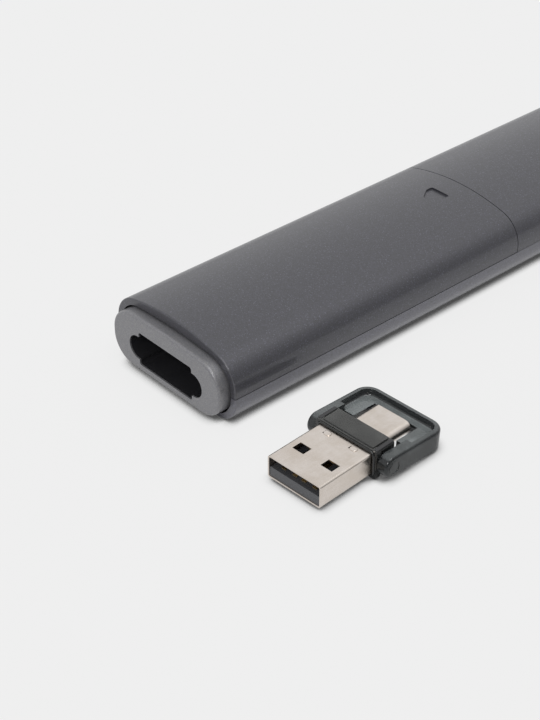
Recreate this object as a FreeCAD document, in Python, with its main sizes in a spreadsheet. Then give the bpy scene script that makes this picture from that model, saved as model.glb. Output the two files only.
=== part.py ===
"""Wireless presentation clicker: a flat stick handset and its two-ended receiver.

Millimetres. +X is across the handset, +Y runs from its tail to its nose, +Z is up.
The origin is the middle of the flat face that the handset lies on, with its keys underneath.
The receiver lies beside the tail, turned a little, with its swivel frame drooping to the table.
"""
import FreeCAD, Part
import math
import os
from types import SimpleNamespace

import Sketcher
from FreeCAD import Placement, Rotation, Vector

CASING_SIZES = [
    ("body_width", 32.6, "casing from side to side"),
    ("body_length", 134.6, "casing from tail rim to nose"),
    ("lower_corner", 4.9, "corner radius beside the key face"),
    ("upper_corner", 6.0, "corner radius beside the crown"),
    ("crown_radius", 46.0, "radius of the crowned back"),
    ("seam_height", 5.95, "height of the side seam"),
    ("side_wall", 1.4, "side wall"),
    ("floor_wall", 1.6, "wall of the key face"),
    ("roof_wall", 1.5, "wall of the crowned back"),
    ("end_wall", 1.6, "wall of the nose"),
    ("rim_depth", 1.6, "depth of the rims round the tail cap"),
    ("rim_edge", 0.25, "rounding of the tail rims"),
    ("nose_round", 2.2, "rounding of the nose"),
    ("cover_length", 72.3, "battery cover from tail rim to cross seam"),
    ("seam_gap", 0.16, "open width of the seams"),
    ("slide_gap", 0.12, "running gap round the sliding cover"),
    ("lap_length", 2.0, "lip of the back shell under the cover"),
    ("lap_wall", 0.9, "thickness of that lip"),
    ("lap_web", 1.2, "root of that lip inside the back shell"),
    ("upstand_height", 1.9, "inner wall above the side seam"),
    ("upstand_root", 1.4, "inner wall below the side seam"),
    ("upstand_wall", 1.2, "thickness of the inner wall"),
    ("rail_rise", 1.0, "slide rail above the side seam"),
    ("rail_height", 0.6, "slide rail height"),
    ("rail_depth", 0.45, "reach of the slide rail into the cover"),
    ("mark_width", 4.6, "sunk arrowhead, side to side"),
    ("mark_side", 1.6, "straight sides of the arrowhead"),
    ("mark_point", 3.6, "arrowhead from its sides to its sharp point"),
    ("mark_depth", 0.4, "depth of the sunk arrowhead"),
    ("mark_setback", 5.2, "arrowhead base behind the cross seam"),
    ("mark_round", 0.4, "rounding of the arrowhead's base"),
    ("mark_point_round", 1.1, "rounding of its sides and point"),
]

TAIL_SIZES = [
    ("cap_width", 29.5, "tail cap from side to side"),
    ("cap_bottom", 0.85, "underside of the tail cap above the table"),
    ("cap_drop", 2.35, "crown of the tail cap below the casing's"),
    ("cap_lower_corner", 4.9, "lower corner radius of the tail cap"),
    ("cap_upper_corner", 5.1, "upper corner radius of the tail cap"),
    ("cap_crown", 110.0, "crown radius of the tail cap"),
    ("cap_reach", 2.25, "tail cap beyond the casing"),
    ("cap_depth", 4.2, "tail cap front to back"),
    ("cap_edge", 0.5, "rounding of the tail cap"),
    ("cap_gap", 0.35, "groove round the tail cap"),
    ("socket_width", 14.6, "tall middle of the receiver socket, across"),
    ("socket_height", 6.9, "tall middle of the receiver socket, upright"),
    ("socket_corner", 0.5, "corner radius of the tall middle"),
    ("lobe_width", 20.1, "low slot of the receiver socket, across"),
    ("lobe_height", 4.8, "low slot of the receiver socket, upright"),
    ("sleeve_wall", 0.6, "wall of the socket sleeve"),
    ("cap_lip", 0.3, "lip of the tail cap in front of the sleeve"),
    ("fit_gap", 0.05, "gap between pieces that are pushed together"),
]

POWER_SIZES = [
    ("cell_diameter", 10.3, "battery cell diameter"),
    ("cell_length", 44.5, "battery cell with its nub"),
    ("nub_diameter", 3.8, "nub of the battery cell"),
    ("nub_length", 1.0, "reach of that nub"),
    ("cell_chamfer", 0.5, "rolled rim of the battery cell"),
    ("cell_gap", 0.2, "cell to the walls of its tray"),
    ("cell_headroom", 0.4, "cell to the inside of the battery cover"),
    ("tray_wall", 1.0, "walls of the battery tray"),
    ("tray_floor", 0.6, "floor of the battery tray"),
    ("tray_wall_rise", 1.45, "tray's side walls above the middle of the cell"),
    ("tray_end_rise", 3.45, "tray's end walls above the middle of the cell"),
    ("wing_height", 4.4, "underside of the tray's wings"),
    ("wing_wall", 0.8, "thickness of the tray's wings"),
    ("wing_gap", 0.6, "wings to the inner walls of the casing"),
    ("tray_gap", 0.1, "tray to the sleeve"),
    ("contact_sheet", 0.3, "sheet of the battery contacts"),
    ("contact_width", 7.0, "width of the battery contacts"),
    ("strip_height", 1.6, "strip from the tail contact to the board"),
    ("strip_side", 8.4, "place of that strip off the middle"),
    ("spring_length", 2.8, "coil spring between contact and cell"),
    ("spring_radius", 2.9, "coil radius at the contact"),
    ("spring_tip_radius", 2.1, "coil radius at the cell"),
    ("spring_wire", 0.55, "wire of the coil spring"),
    ("spring_turns", 3, "turns of the coil spring"),
    ("tray_screw_side", 10.2, "tray screws off the middle"),
    ("tray_screw_inset", 4.5, "tray screws from the tray's ends"),
    ("screw_shank", 1.7, "screw shank diameter"),
    ("screw_length", 4.0, "screw shank length"),
    ("screw_head", 3.0, "screw head diameter"),
    ("screw_head_height", 0.9, "screw head height"),
    ("screw_drive", 0.45, "depth of the screw drive"),
    ("screw_drive_width", 1.5, "screw drive, corner to corner"),
    ("boss_diameter", 4.0, "screw boss diameter"),
    ("screw_gap", 0.15, "play round a screw shank"),
]

BOARD_SIZES = [
    ("board_height", 4.6, "underside of the circuit board"),
    ("board_thickness", 1.0, "circuit board"),
    ("board_width", 25.6, "circuit board from side to side"),
    ("board_start_gap", 0.5, "circuit board from the tray"),
    ("board_corner", 1.5, "corner radius of the circuit board"),
    ("board_screw_side", 10.6, "board screws off the middle"),
    ("board_screw_inset", 6.0, "board screws from the board's ends"),
    ("power_offset", 6.4, "power slider from the cross seam"),
    ("power_clear", 1.35, "power slider to the back key"),
    ("laser_key_clear", 0.1, "laser key to the laser module"),
    ("key_recess", 0.15, "key faces behind the key face of the casing"),
    ("key_gap", 0.15, "gap round a key"),
    ("key_flange", 0.8, "reach of a key's flange"),
    ("key_flange_height", 0.8, "thickness of a key's flange"),
    ("key_round", 0.35, "rounding of a key"),
    ("key_travel", 0.4, "key travel"),
    ("stem_diameter", 1.5, "stem under a key"),
    ("forward_share", 0.61, "forward key's share of the room between its neighbours"),
    ("laser_diameter", 8.6, "laser key"),
    ("back_width", 13.0, "back key, across"),
    ("back_height", 7.6, "back key, along"),
    ("dish_radius", 38.0, "radius of the dish in a round key"),
    ("dish_depth", 0.35, "depth of the dish in the forward key"),
    ("switch_width", 4.2, "tactile switch"),
    ("switch_height", 1.5, "tactile switch height"),
    ("switch_well", 2.2, "well for the stem"),
    ("switch_well_depth", 0.9, "depth of that well"),
    ("knob_length", 4.2, "power slider, along"),
    ("knob_width", 3.0, "power slider, across"),
    ("knob_travel", 2.5, "power slider travel"),
    ("knob_flange", 0.8, "reach of the power slider's flange"),
    ("knob_flange_height", 0.7, "thickness of that flange"),
    ("knob_rib", 0.25, "height of the grip ribs"),
    ("tang_width", 1.4, "tang between knob and power switch"),
    ("power_switch_length", 8.6, "power switch, along"),
    ("power_switch_width", 3.8, "power switch, across"),
    ("power_switch_height", 2.0, "power switch height"),
    ("lamp_side", 6.0, "status lamp off the middle"),
    ("lamp_size", 1.6, "status lamp"),
    ("lamp_height", 0.6, "status lamp height"),
    ("pipe_diameter", 1.4, "light pipe"),
    ("pipe_head", 2.4, "head of the light pipe"),
    ("pipe_head_height", 0.5, "height of that head"),
    ("chip_size", 5.0, "radio chip"),
    ("chip_height", 0.9, "radio chip height"),
    ("crystal_length", 3.2, "crystal, across"),
    ("crystal_width", 2.5, "crystal, along"),
    ("crystal_height", 0.8, "crystal height"),
    ("laser_barrel", 6.0, "laser module diameter"),
    ("laser_length", 7.6, "laser module length"),
    ("laser_bore", 3.4, "mouth of the laser module"),
    ("laser_bore_depth", 2.4, "depth of that mouth"),
    ("lens_setback", 0.8, "lens behind the mouth"),
    ("lens_thickness", 1.0, "lens"),
    ("laser_clear", 0.4, "laser module behind the window"),
    ("cradle_width", 8.4, "cradle under the laser module"),
    ("window_width", 11.0, "laser window, across"),
    ("window_height", 4.4, "laser window, upright"),
    ("window_setback", 0.15, "laser window behind the nose"),
]

RECEIVER_SIZES = [
    ("receiver_x", 36.11, "plug tip beside the handset's middle"),
    ("receiver_y", 71.93, "plug tip behind the handset's middle"),
    ("receiver_yaw", 3.15, "receiver turned about the upright, degrees"),
    ("plug_width", 12.0, "USB-A plug"),
    ("plug_height", 4.5, "USB-A plug height"),
    ("plug_reach", 12.3, "USB-A plug outside the block"),
    ("plug_sheet", 0.3, "sheet of both plug shells"),
    ("plug_corner", 0.55, "corner radius of the USB-A plug"),
    ("plug_root", 0.85, "plug shells inside the block"),
    ("window_side", 3.2, "locking windows off the middle"),
    ("window_back", 5.16, "locking windows behind the tip"),
    ("window_across", 2.5, "locking window, across"),
    ("window_along", 2.0, "locking window, along"),
    ("dimple_side", 2.9, "half-round stops off the middle"),
    ("dimple_back", 11.0, "half-round stops behind the tip"),
    ("dimple_diameter", 1.7, "half-round stops"),
    ("dimple_slit", 0.25, "slit round a half-round stop"),
    ("tongue_thickness", 1.9, "USB-A tongue"),
    ("tongue_setback", 0.15, "USB-A tongue behind the tip"),
    ("finger_width", 1.0, "USB-A contact"),
    ("finger_sheet", 0.15, "USB-A contact height"),
    ("finger_length", 7.4, "outer USB-A contacts"),
    ("finger_short", 6.4, "inner USB-A contacts"),
    ("finger_inner_side", 1.0, "inner USB-A contacts off the middle"),
    ("finger_outer_side", 3.5, "outer USB-A contacts off the middle"),
    ("block_width", 13.8, "receiver block"),
    ("block_depth", 4.75, "receiver block along the plugs"),
    ("block_height", 5.8, "receiver block height"),
    ("block_corner", 0.6, "rounding of the receiver block"),
    ("block_wall", 0.8, "wall of the receiver block"),
    ("collar_depth", 1.1, "collar of the block at the USB-A plug"),
    ("waist_inset", 0.25, "block behind its collar"),
    ("pivot_back", 2.0, "pivot behind the front of the block"),
    ("pivot_diameter", 2.0, "pivot pins"),
    ("pivot_reach", 1.3, "pivot pins outside the block"),
    ("pivot_gap", 0.05, "running gap round a pivot pin"),
    ("pivot_root", 1.9, "pivot plugs inside the block"),
    ("hub_gap", 0.12, "arm to the end of the block"),
    ("frame_width", 18.3, "swivel frame"),
    ("frame_reach", 13.4, "swivel frame from pivot to end"),
    ("frame_thickness", 4.1, "swivel frame thickness"),
    ("frame_corner", 3.0, "corner radius of the swivel frame"),
    ("frame_edge", 0.6, "rounding of the swivel frame"),
    ("frame_rim", 1.05, "rim of the swivel frame"),
    ("frame_plate", 1.5, "plate inside the rim"),
    ("frame_hollow", 0.55, "hollow corner between rim and plate"),
    ("frame_plate_start", 5.2, "plate from the pivot"),
    ("bay_width", 9.8, "bay in the plate for the USB-C plug"),
    ("bay_reach", 10.7, "end of that bay from the pivot"),
    ("table_gap", 0.02, "drooping frame above the table"),
    ("small_plug_width", 8.34, "USB-C plug"),
    ("small_plug_height", 2.56, "USB-C plug height"),
    ("small_plug_reach", 6.95, "USB-C plug outside the block"),
    ("small_tongue_width", 6.2, "USB-C tongue"),
    ("small_tongue_height", 0.7, "USB-C tongue thickness"),
    ("small_tongue_setback", 1.6, "USB-C tongue behind the tip"),
    ("receiver_board_width", 8.6, "receiver board across"),
    ("receiver_board_sheet", 0.8, "receiver board thickness"),
    ("receiver_chip_size", 2.2, "receiver chip"),
    ("receiver_chip_height", 0.7, "receiver chip height"),
]

doc = FreeCAD.newDocument("PresentationClicker")
sub_parts = []


class Length:
    """A size with the sheet expression that gives it, so that sums stay bound to the sheet."""

    def __init__(self, value, text):
        self.value = value
        self.text = text

    def __add__(self, other):
        other = as_length(other)
        return Length(self.value + other.value, f"({self.text} + {other.text})")

    def __sub__(self, other):
        other = as_length(other)
        return Length(self.value - other.value, f"({self.text} - {other.text})")

    def __mul__(self, other):
        other = as_length(other)
        return Length(self.value * other.value, f"({self.text} * {other.text})")

    def __truediv__(self, other):
        other = as_length(other)
        return Length(self.value / other.value, f"({self.text} / {other.text})")

    def __rsub__(self, other):
        return as_length(other) - self

    def __neg__(self):
        return self * -1

    __radd__ = __add__
    __rmul__ = __mul__


def as_length(number):
    """Turn a plain number into a Length; a Length stays as it is."""
    if isinstance(number, Length):
        return number
    return Length(float(number), f"({float(number)})")


def fill_sheet():
    """Write every driving size into the sheet and return them as Lengths by name."""
    sheet = doc.addObject("Spreadsheet::Sheet", "Sizes")
    row = 0
    for group in (CASING_SIZES, TAIL_SIZES, POWER_SIZES, BOARD_SIZES, RECEIVER_SIZES):
        for alias, value, meaning in group:
            row += 1
            sheet.set(f"A{row}", meaning)
            sheet.set(f"B{row}", str(value))
            sheet.setAlias(f"B{row}", alias)
    doc.recompute()
    names = [alias for group in (CASING_SIZES, TAIL_SIZES, POWER_SIZES, BOARD_SIZES, RECEIVER_SIZES)
             for alias, _, _ in group]
    return SimpleNamespace(**{name: Length(float(sheet.get(name)), f"Sizes.{name}") for name in names})


size = fill_sheet()


def bind(thing, prop, length):
    """Bind a property to the sheet."""
    thing.setExpression(prop, as_length(length).text)


def keep(thing, label):
    """Count an object as a sub-part of the clicker under its own label."""
    thing.Label = label
    sub_parts.append(thing)
    return thing


# Sketches and the features made from them


def new_body(label):
    """Start a sub-part made of sketched features."""
    return keep(doc.addObject("PartDesign::Body", label), label)


def sketch_on(body, plane, level, name):
    """Attach a sketch to one of the body's own planes, moved to a level along its axis."""
    sketch = body.newObject("Sketcher::SketchObject", name)
    origin_plane = next(item for item in body.Origin.OriginFeatures if item.Role == f"{plane}_Plane")
    sketch.AttachmentSupport = [(origin_plane, "")]
    sketch.MapMode = "FlatFace"
    level = as_length(level)
    bind(sketch, "AttachmentOffset.Base.z", -level if plane == "XZ" else level)
    return sketch


def hold(sketch, kind, curve, end, length):
    """Add one bound distance from the sketch's origin, or a bound radius."""
    length = as_length(length)
    if kind == "Radius":
        rule = Sketcher.Constraint(kind, curve, length.value)
    else:
        rule = Sketcher.Constraint(kind, -1, 1, curve, end, length.value)
    number = sketch.addConstraint(rule)
    sketch.setExpression(f"Constraints[{number}]", length.text)


def join(sketch, kind, curves):
    """Join curves end to start in a closed ring."""
    for curve, following in zip(curves, curves[1:] + curves[:1]):
        sketch.addConstraint(Sketcher.Constraint(kind, curve, 2, following, 1))


def line(sketch, start, end):
    """A straight edge between two (across, up) pairs."""
    spots = [Vector(as_length(across).value, as_length(up).value, 0) for across, up in (start, end)]
    return sketch.addGeometry(Part.LineSegment(*spots))


def arc(sketch, across, up, radius, start, end):
    """A round edge about a centre, between two angles in radians."""
    middle = Vector(as_length(across).value, as_length(up).value, 0)
    circle = Part.Circle(middle, Vector(0, 0, 1), as_length(radius).value)
    return sketch.addGeometry(Part.ArcOfCircle(circle, start, end))


def add_outline(sketch, corners):
    """Close a straight-sided outline through its (across, up) corners."""
    edges = [line(sketch, corner, following)
             for corner, following in zip(corners, corners[1:] + corners[:1])]
    join(sketch, "Coincident", edges)
    for edge, (across, up) in zip(edges, corners):
        hold(sketch, "DistanceX", edge, 1, across)
        hold(sketch, "DistanceY", edge, 1, up)
    return sketch


def add_box(sketch, left, right, low, high):
    """A square-cornered box."""
    return add_outline(sketch, [(left, low), (right, low), (right, high), (left, high)])


def add_circle(sketch, across, up, diameter):
    """A circle about a bound centre."""
    radius = as_length(diameter) / 2
    middle = Vector(as_length(across).value, as_length(up).value, 0)
    circle = sketch.addGeometry(Part.Circle(middle, Vector(0, 0, 1), radius.value))
    hold(sketch, "DistanceX", circle, 3, across)
    hold(sketch, "DistanceY", circle, 3, up)
    hold(sketch, "Radius", circle, None, radius)
    return sketch


def add_obround(sketch, across, up, width, height):
    """A slot with full round ends, longer across than upright."""
    across, up, radius = as_length(across), as_length(up), as_length(height) / 2
    reach = as_length(width) / 2 - radius
    bottom = line(sketch, (across - reach, up - radius), (across + reach, up - radius))
    right = arc(sketch, across + reach, up, radius, -math.pi / 2, math.pi / 2)
    top = line(sketch, (across + reach, up + radius), (across - reach, up + radius))
    left = arc(sketch, across - reach, up, radius, math.pi / 2, 3 * math.pi / 2)
    join(sketch, "Tangent", [bottom, right, top, left])
    for end, middle in ((right, across + reach), (left, across - reach)):
        hold(sketch, "DistanceX", end, 3, middle)
        hold(sketch, "DistanceY", end, 3, up)
    hold(sketch, "Radius", right, None, radius)
    return sketch


def add_rounded_box(sketch, left, right, low, high, radius):
    """A box with four equal round corners."""
    left, right, low, high, radius = (as_length(item) for item in (left, right, low, high, radius))
    quarter = math.pi / 2
    ring = [
        line(sketch, (left + radius, low), (right - radius, low)),
        arc(sketch, right - radius, low + radius, radius, -quarter, 0),
        line(sketch, (right, low + radius), (right, high - radius)),
        arc(sketch, right - radius, high - radius, radius, 0, quarter),
        line(sketch, (right - radius, high), (left + radius, high)),
        arc(sketch, left + radius, high - radius, radius, quarter, 2 * quarter),
        line(sketch, (left, high - radius), (left, low + radius)),
        arc(sketch, left + radius, low + radius, radius, 2 * quarter, 3 * quarter),
    ]
    join(sketch, "Tangent", ring)
    for corner in (1, 5):
        across = right - radius if corner == 1 else left + radius
        up = low + radius if corner == 1 else high - radius
        hold(sketch, "DistanceX", ring[corner], 3, across)
        hold(sketch, "DistanceY", ring[corner], 3, up)
    for corner in (1, 3, 5, 7):
        hold(sketch, "Radius", ring[corner], None, radius)
    for edge, kind in ((0, "Horizontal"), (2, "Vertical")):
        sketch.addConstraint(Sketcher.Constraint(kind, ring[edge]))
    return sketch


def add_arch(sketch, half, low, high, radius):
    """A box that is symmetric across, with square lower corners and round upper corners."""
    half, low, high, radius = (as_length(item) for item in (half, low, high, radius))
    quarter = math.pi / 2
    base = line(sketch, (-half, low), (half, low))
    right = line(sketch, (half, low), (half, high - radius))
    right_arc = arc(sketch, half - radius, high - radius, radius, 0, quarter)
    top = line(sketch, (half - radius, high), (radius - half, high))
    left_arc = arc(sketch, radius - half, high - radius, radius, quarter, 2 * quarter)
    left = line(sketch, (-half, high - radius), (-half, low))
    for kind, curve, following in (("Coincident", left, base), ("Coincident", base, right),
                                   ("Tangent", right, right_arc), ("Tangent", right_arc, top),
                                   ("Tangent", top, left_arc), ("Tangent", left_arc, left)):
        sketch.addConstraint(Sketcher.Constraint(kind, curve, 2, following, 1))
    for end, across in ((1, -half), (2, half)):
        hold(sketch, "DistanceX", base, end, across)
        hold(sketch, "DistanceY", base, end, low)
    for curve, across in ((right_arc, half - radius), (left_arc, radius - half)):
        hold(sketch, "DistanceX", curve, 3, across)
        hold(sketch, "DistanceY", curve, 3, high - radius)
        hold(sketch, "Radius", curve, None, radius)
    return sketch


def add_crowned_box(sketch, half, low, top, lower, upper, crown):
    """A box that is symmetric across, with round lower corners and round upper corners under a crown.

    The upper corner arcs touch the sides and the crown arc, whose centre is on the middle line.
    """
    half, low, top, lower, upper, crown = (
        as_length(item) for item in (half, low, top, lower, upper, crown))
    crown_middle = top - crown
    side_step = half.value - upper.value
    rise = math.sqrt((crown.value - upper.value) ** 2 - side_step ** 2)
    shoulder = crown_middle.value + rise
    turn = math.atan2(rise, side_step)
    quarter = math.pi / 2
    ring = [
        line(sketch, (lower - half, low), (half - lower, low)),
        arc(sketch, half - lower, low + lower, lower, -quarter, 0),
        line(sketch, (half, low + lower), (half, shoulder)),
        arc(sketch, half - upper, shoulder, upper, 0, turn),
        arc(sketch, 0, crown_middle, crown, turn, math.pi - turn),
        arc(sketch, upper - half, shoulder, upper, math.pi - turn, math.pi),
        line(sketch, (-half, shoulder), (-half, low + lower)),
        arc(sketch, lower - half, low + lower, lower, math.pi, math.pi + quarter),
    ]
    join(sketch, "Tangent", ring)
    sketch.addConstraint(Sketcher.Constraint("Horizontal", ring[0]))
    sketch.addConstraint(Sketcher.Constraint("Vertical", ring[2]))
    sketch.addConstraint(Sketcher.Constraint("Vertical", ring[6]))
    sketch.addConstraint(Sketcher.Constraint("PointOnObject", ring[4], 3, -2))
    hold(sketch, "DistanceY", ring[0], 1, low)
    hold(sketch, "DistanceX", ring[2], 1, half)
    hold(sketch, "DistanceX", ring[6], 1, -half)
    hold(sketch, "DistanceY", ring[4], 3, crown_middle)
    hold(sketch, "Radius", ring[4], None, crown)
    for corner, radius in ((1, lower), (7, lower), (3, upper), (5, upper)):
        hold(sketch, "Radius", ring[corner], None, radius)
    return sketch


def grow(body, sketch, length):
    """Pad a sketch along the positive direction of its plane's axis."""
    feature = body.newObject("PartDesign::Pad", f"{sketch.Name}_pad")
    feature.Profile = sketch
    bind(feature, "Length", length)
    feature.Reversed = "XZ" in sketch.AttachmentSupport[0][0].Role
    sketch.Visibility = False
    return feature


def carve(body, sketch, length):
    """Pocket a sketch along the positive direction of its plane's axis."""
    feature = body.newObject("PartDesign::Pocket", f"{sketch.Name}_pocket")
    feature.Profile = sketch
    bind(feature, "Length", length)
    feature.Reversed = "XZ" not in sketch.AttachmentSupport[0][0].Role
    sketch.Visibility = False
    return feature


def round_edges(body, radius, chosen, name):
    """Fillet the edges of the body whose middle point passes a test."""
    doc.recompute()
    base = body.Tip
    names = [f"Edge{number}" for number, edge in enumerate(base.Shape.Edges, start=1)
             if chosen(edge.BoundBox)]
    feature = body.newObject("PartDesign::Fillet", name)
    feature.Base = (base, names)
    bind(feature, "Radius", radius)
    return feature


def level_test(axis, level):
    """A test for edges that lie wholly at one level of an axis."""
    level = as_length(level).value

    def lies_there(bounds):
        low, high = getattr(bounds, f"{axis}Min"), getattr(bounds, f"{axis}Max")
        return abs(low - level) < 0.01 and abs(high - level) < 0.01

    return lies_there


# Plain solids and their sums


def place(thing, x, y, z):
    """Bind the place of an object."""
    for axis, length in (("x", x), ("y", y), ("z", z)):
        bind(thing, f"Placement.Base.{axis}", length)
    return thing


def block(name, x, y, z):
    """A plain block between (low, high) pairs on each axis."""
    solid = doc.addObject("Part::Box", name)
    for prop, (low, high) in (("Length", x), ("Width", y), ("Height", z)):
        bind(solid, prop, as_length(high) - low)
    return place(solid, x[0], y[0], z[0])


def bar(name, diameter, length, x, y, z, axis="Z"):
    """A round bar that starts at a place and runs along +X, +Y or +Z."""
    solid = doc.addObject("Part::Cylinder", name)
    turns = {"X": Rotation(Vector(0, 1, 0), 90), "Y": Rotation(Vector(1, 0, 0), -90), "Z": Rotation()}
    solid.Placement = Placement(Vector(), turns[axis])
    bind(solid, "Radius", as_length(diameter) / 2)
    bind(solid, "Height", length)
    return place(solid, x, y, z)


def joined(name, pieces):
    """Fuse solids into one."""
    whole = doc.addObject("Part::MultiFuse", name)
    whole.Shapes = pieces
    return whole


def cut_from(name, base, tools):
    """Cut tools out of a base."""
    rest = doc.addObject("Part::Cut", name)
    rest.Base = base
    rest.Tool = tools[0] if len(tools) == 1 else joined(f"{name}_tools", tools)
    return rest


def grouped(label, pieces):
    """Several equal pieces as one sub-part of separate solids."""
    group = doc.addObject("Part::Compound", label)
    group.Links = pieces
    return keep(group, label)


# Places that several pieces share

half_width = size.body_width / 2
cell_middle = size.floor_wall + size.tray_floor + size.cell_gap + size.cell_diameter / 2
body_height = cell_middle + size.cell_diameter / 2 + size.cell_headroom + size.roof_wall
tail = -(size.body_length / 2)
nose = size.body_length / 2
seam = tail + size.cover_length
cavity_side = half_width - size.side_wall
upstand_side = cavity_side - size.slide_gap
upstand_inner = upstand_side - size.upstand_wall
upstand_top = size.seam_height + size.upstand_height
rail_low = size.seam_height + size.rail_rise
beyond = 2.0

cap_face = tail - size.cap_reach
cap_top = body_height - size.cap_drop
cap_back = cap_face + size.cap_depth
upstand_start = cap_back + size.slide_gap
socket_middle = size.floor_wall + size.sleeve_wall + size.socket_height / 2

cell_front = seam - size.lap_length - size.seam_gap * 2
cell_back = cell_front - size.cell_length
front_contact = cell_front + size.contact_sheet
tail_contact_back = cell_back - size.spring_length - size.contact_sheet
tray_front = front_contact + size.tray_wall
tray_back = tail_contact_back - size.tray_wall
tray_inner = size.cell_diameter / 2 + size.cell_gap
tray_outer = tray_inner + size.tray_wall
tray_wall_top = cell_middle + size.tray_wall_rise
tray_end_top = cell_middle + size.tray_end_rise
wing_side = upstand_inner - size.wing_gap
wing_top = size.wing_height + size.wing_wall
sleeve_back = tray_back - size.tray_gap
socket_floor = sleeve_back - size.sleeve_wall
tray_screws = [(side * size.tray_screw_side, along)
               for side in (-1, 1)
               for along in (tray_back + size.tray_screw_inset, tray_front - size.tray_screw_inset)]

board_start = tray_front + size.board_start_gap
board_top = size.board_height + size.board_thickness
window_back_face = nose - size.end_wall
laser_height = body_height / 2
laser_front = window_back_face - size.laser_clear
laser_back = laser_front - size.laser_length
board_end = laser_back - size.board_start_gap
power_y = seam + size.power_offset
knob_slot_length = size.knob_length + size.knob_travel + size.key_gap * 2
knob_slot_start = power_y - knob_slot_length / 2
knob_start = knob_slot_start + size.key_gap
knob_end = knob_start + size.knob_length + size.knob_travel + size.knob_flange
back_key_y = knob_end + size.power_clear + size.key_flange + size.back_height / 2
laser_key_y = laser_back - size.laser_key_clear - size.key_flange - size.laser_diameter / 2
key_room_start = back_key_y + size.back_height / 2 + size.key_flange
key_room_end = laser_key_y - size.laser_diameter / 2 - size.key_flange
forward_key_y = (key_room_start + key_room_end) / 2
forward_diameter = (key_room_end - key_room_start) * size.forward_share
key_rows = (back_key_y, forward_key_y, laser_key_y)
board_screws = [(side * size.board_screw_side, along)
                for side in (-1, 1)
                for along in (board_start + size.board_screw_inset, board_end - size.board_screw_inset)]


def casing_section(body, name, level, inward=False, extra_side=0.0, extra_roof=0.0):
    """The casing's section, outside or on the inner faces of its walls."""
    side = size.side_wall + extra_side if inward else as_length(0)
    floor = size.floor_wall if inward else as_length(0)
    top = size.roof_wall + extra_roof if inward else as_length(0)
    return add_crowned_box(
        sketch_on(body, "XZ", level, name), half_width - side, floor, body_height - top,
        size.lower_corner - side, size.upper_corner - side, size.crown_radius - top)


def cap_section(body, name, level, growth):
    """The tail cap's section, grown all round."""
    growth = as_length(growth)
    return add_crowned_box(
        sketch_on(body, "XZ", level, name), size.cap_width / 2 + growth, size.cap_bottom - growth,
        cap_top + growth, size.cap_lower_corner + growth, size.cap_upper_corner + growth,
        size.cap_crown + growth)


def carve_socket(body, start, length, growth, name):
    """Cut the receiver socket: a low slot with round ends crossed by a taller middle."""
    growth = as_length(growth)
    slot = sketch_on(body, "XZ", start, f"{name}_slot")
    add_obround(slot, 0, socket_middle, size.lobe_width + growth * 2, size.lobe_height + growth * 2)
    carve(body, slot, length)
    middle = sketch_on(body, "XZ", start, f"{name}_middle")
    half, rise = size.socket_width / 2 + growth, size.socket_height / 2 + growth
    add_rounded_box(middle, -half, half, socket_middle - rise, socket_middle + rise,
                    size.socket_corner + growth)
    carve(body, middle, length)


def carve_window(body, name):
    """Cut the obround place of the laser window through the nose."""
    sketch = sketch_on(body, "XZ", window_back_face - beyond, name)
    add_obround(sketch, 0, laser_height, size.window_width + size.fit_gap * 2,
                size.window_height + size.fit_gap * 2)
    carve(body, sketch, size.end_wall + beyond * 2)


# The casing


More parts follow.
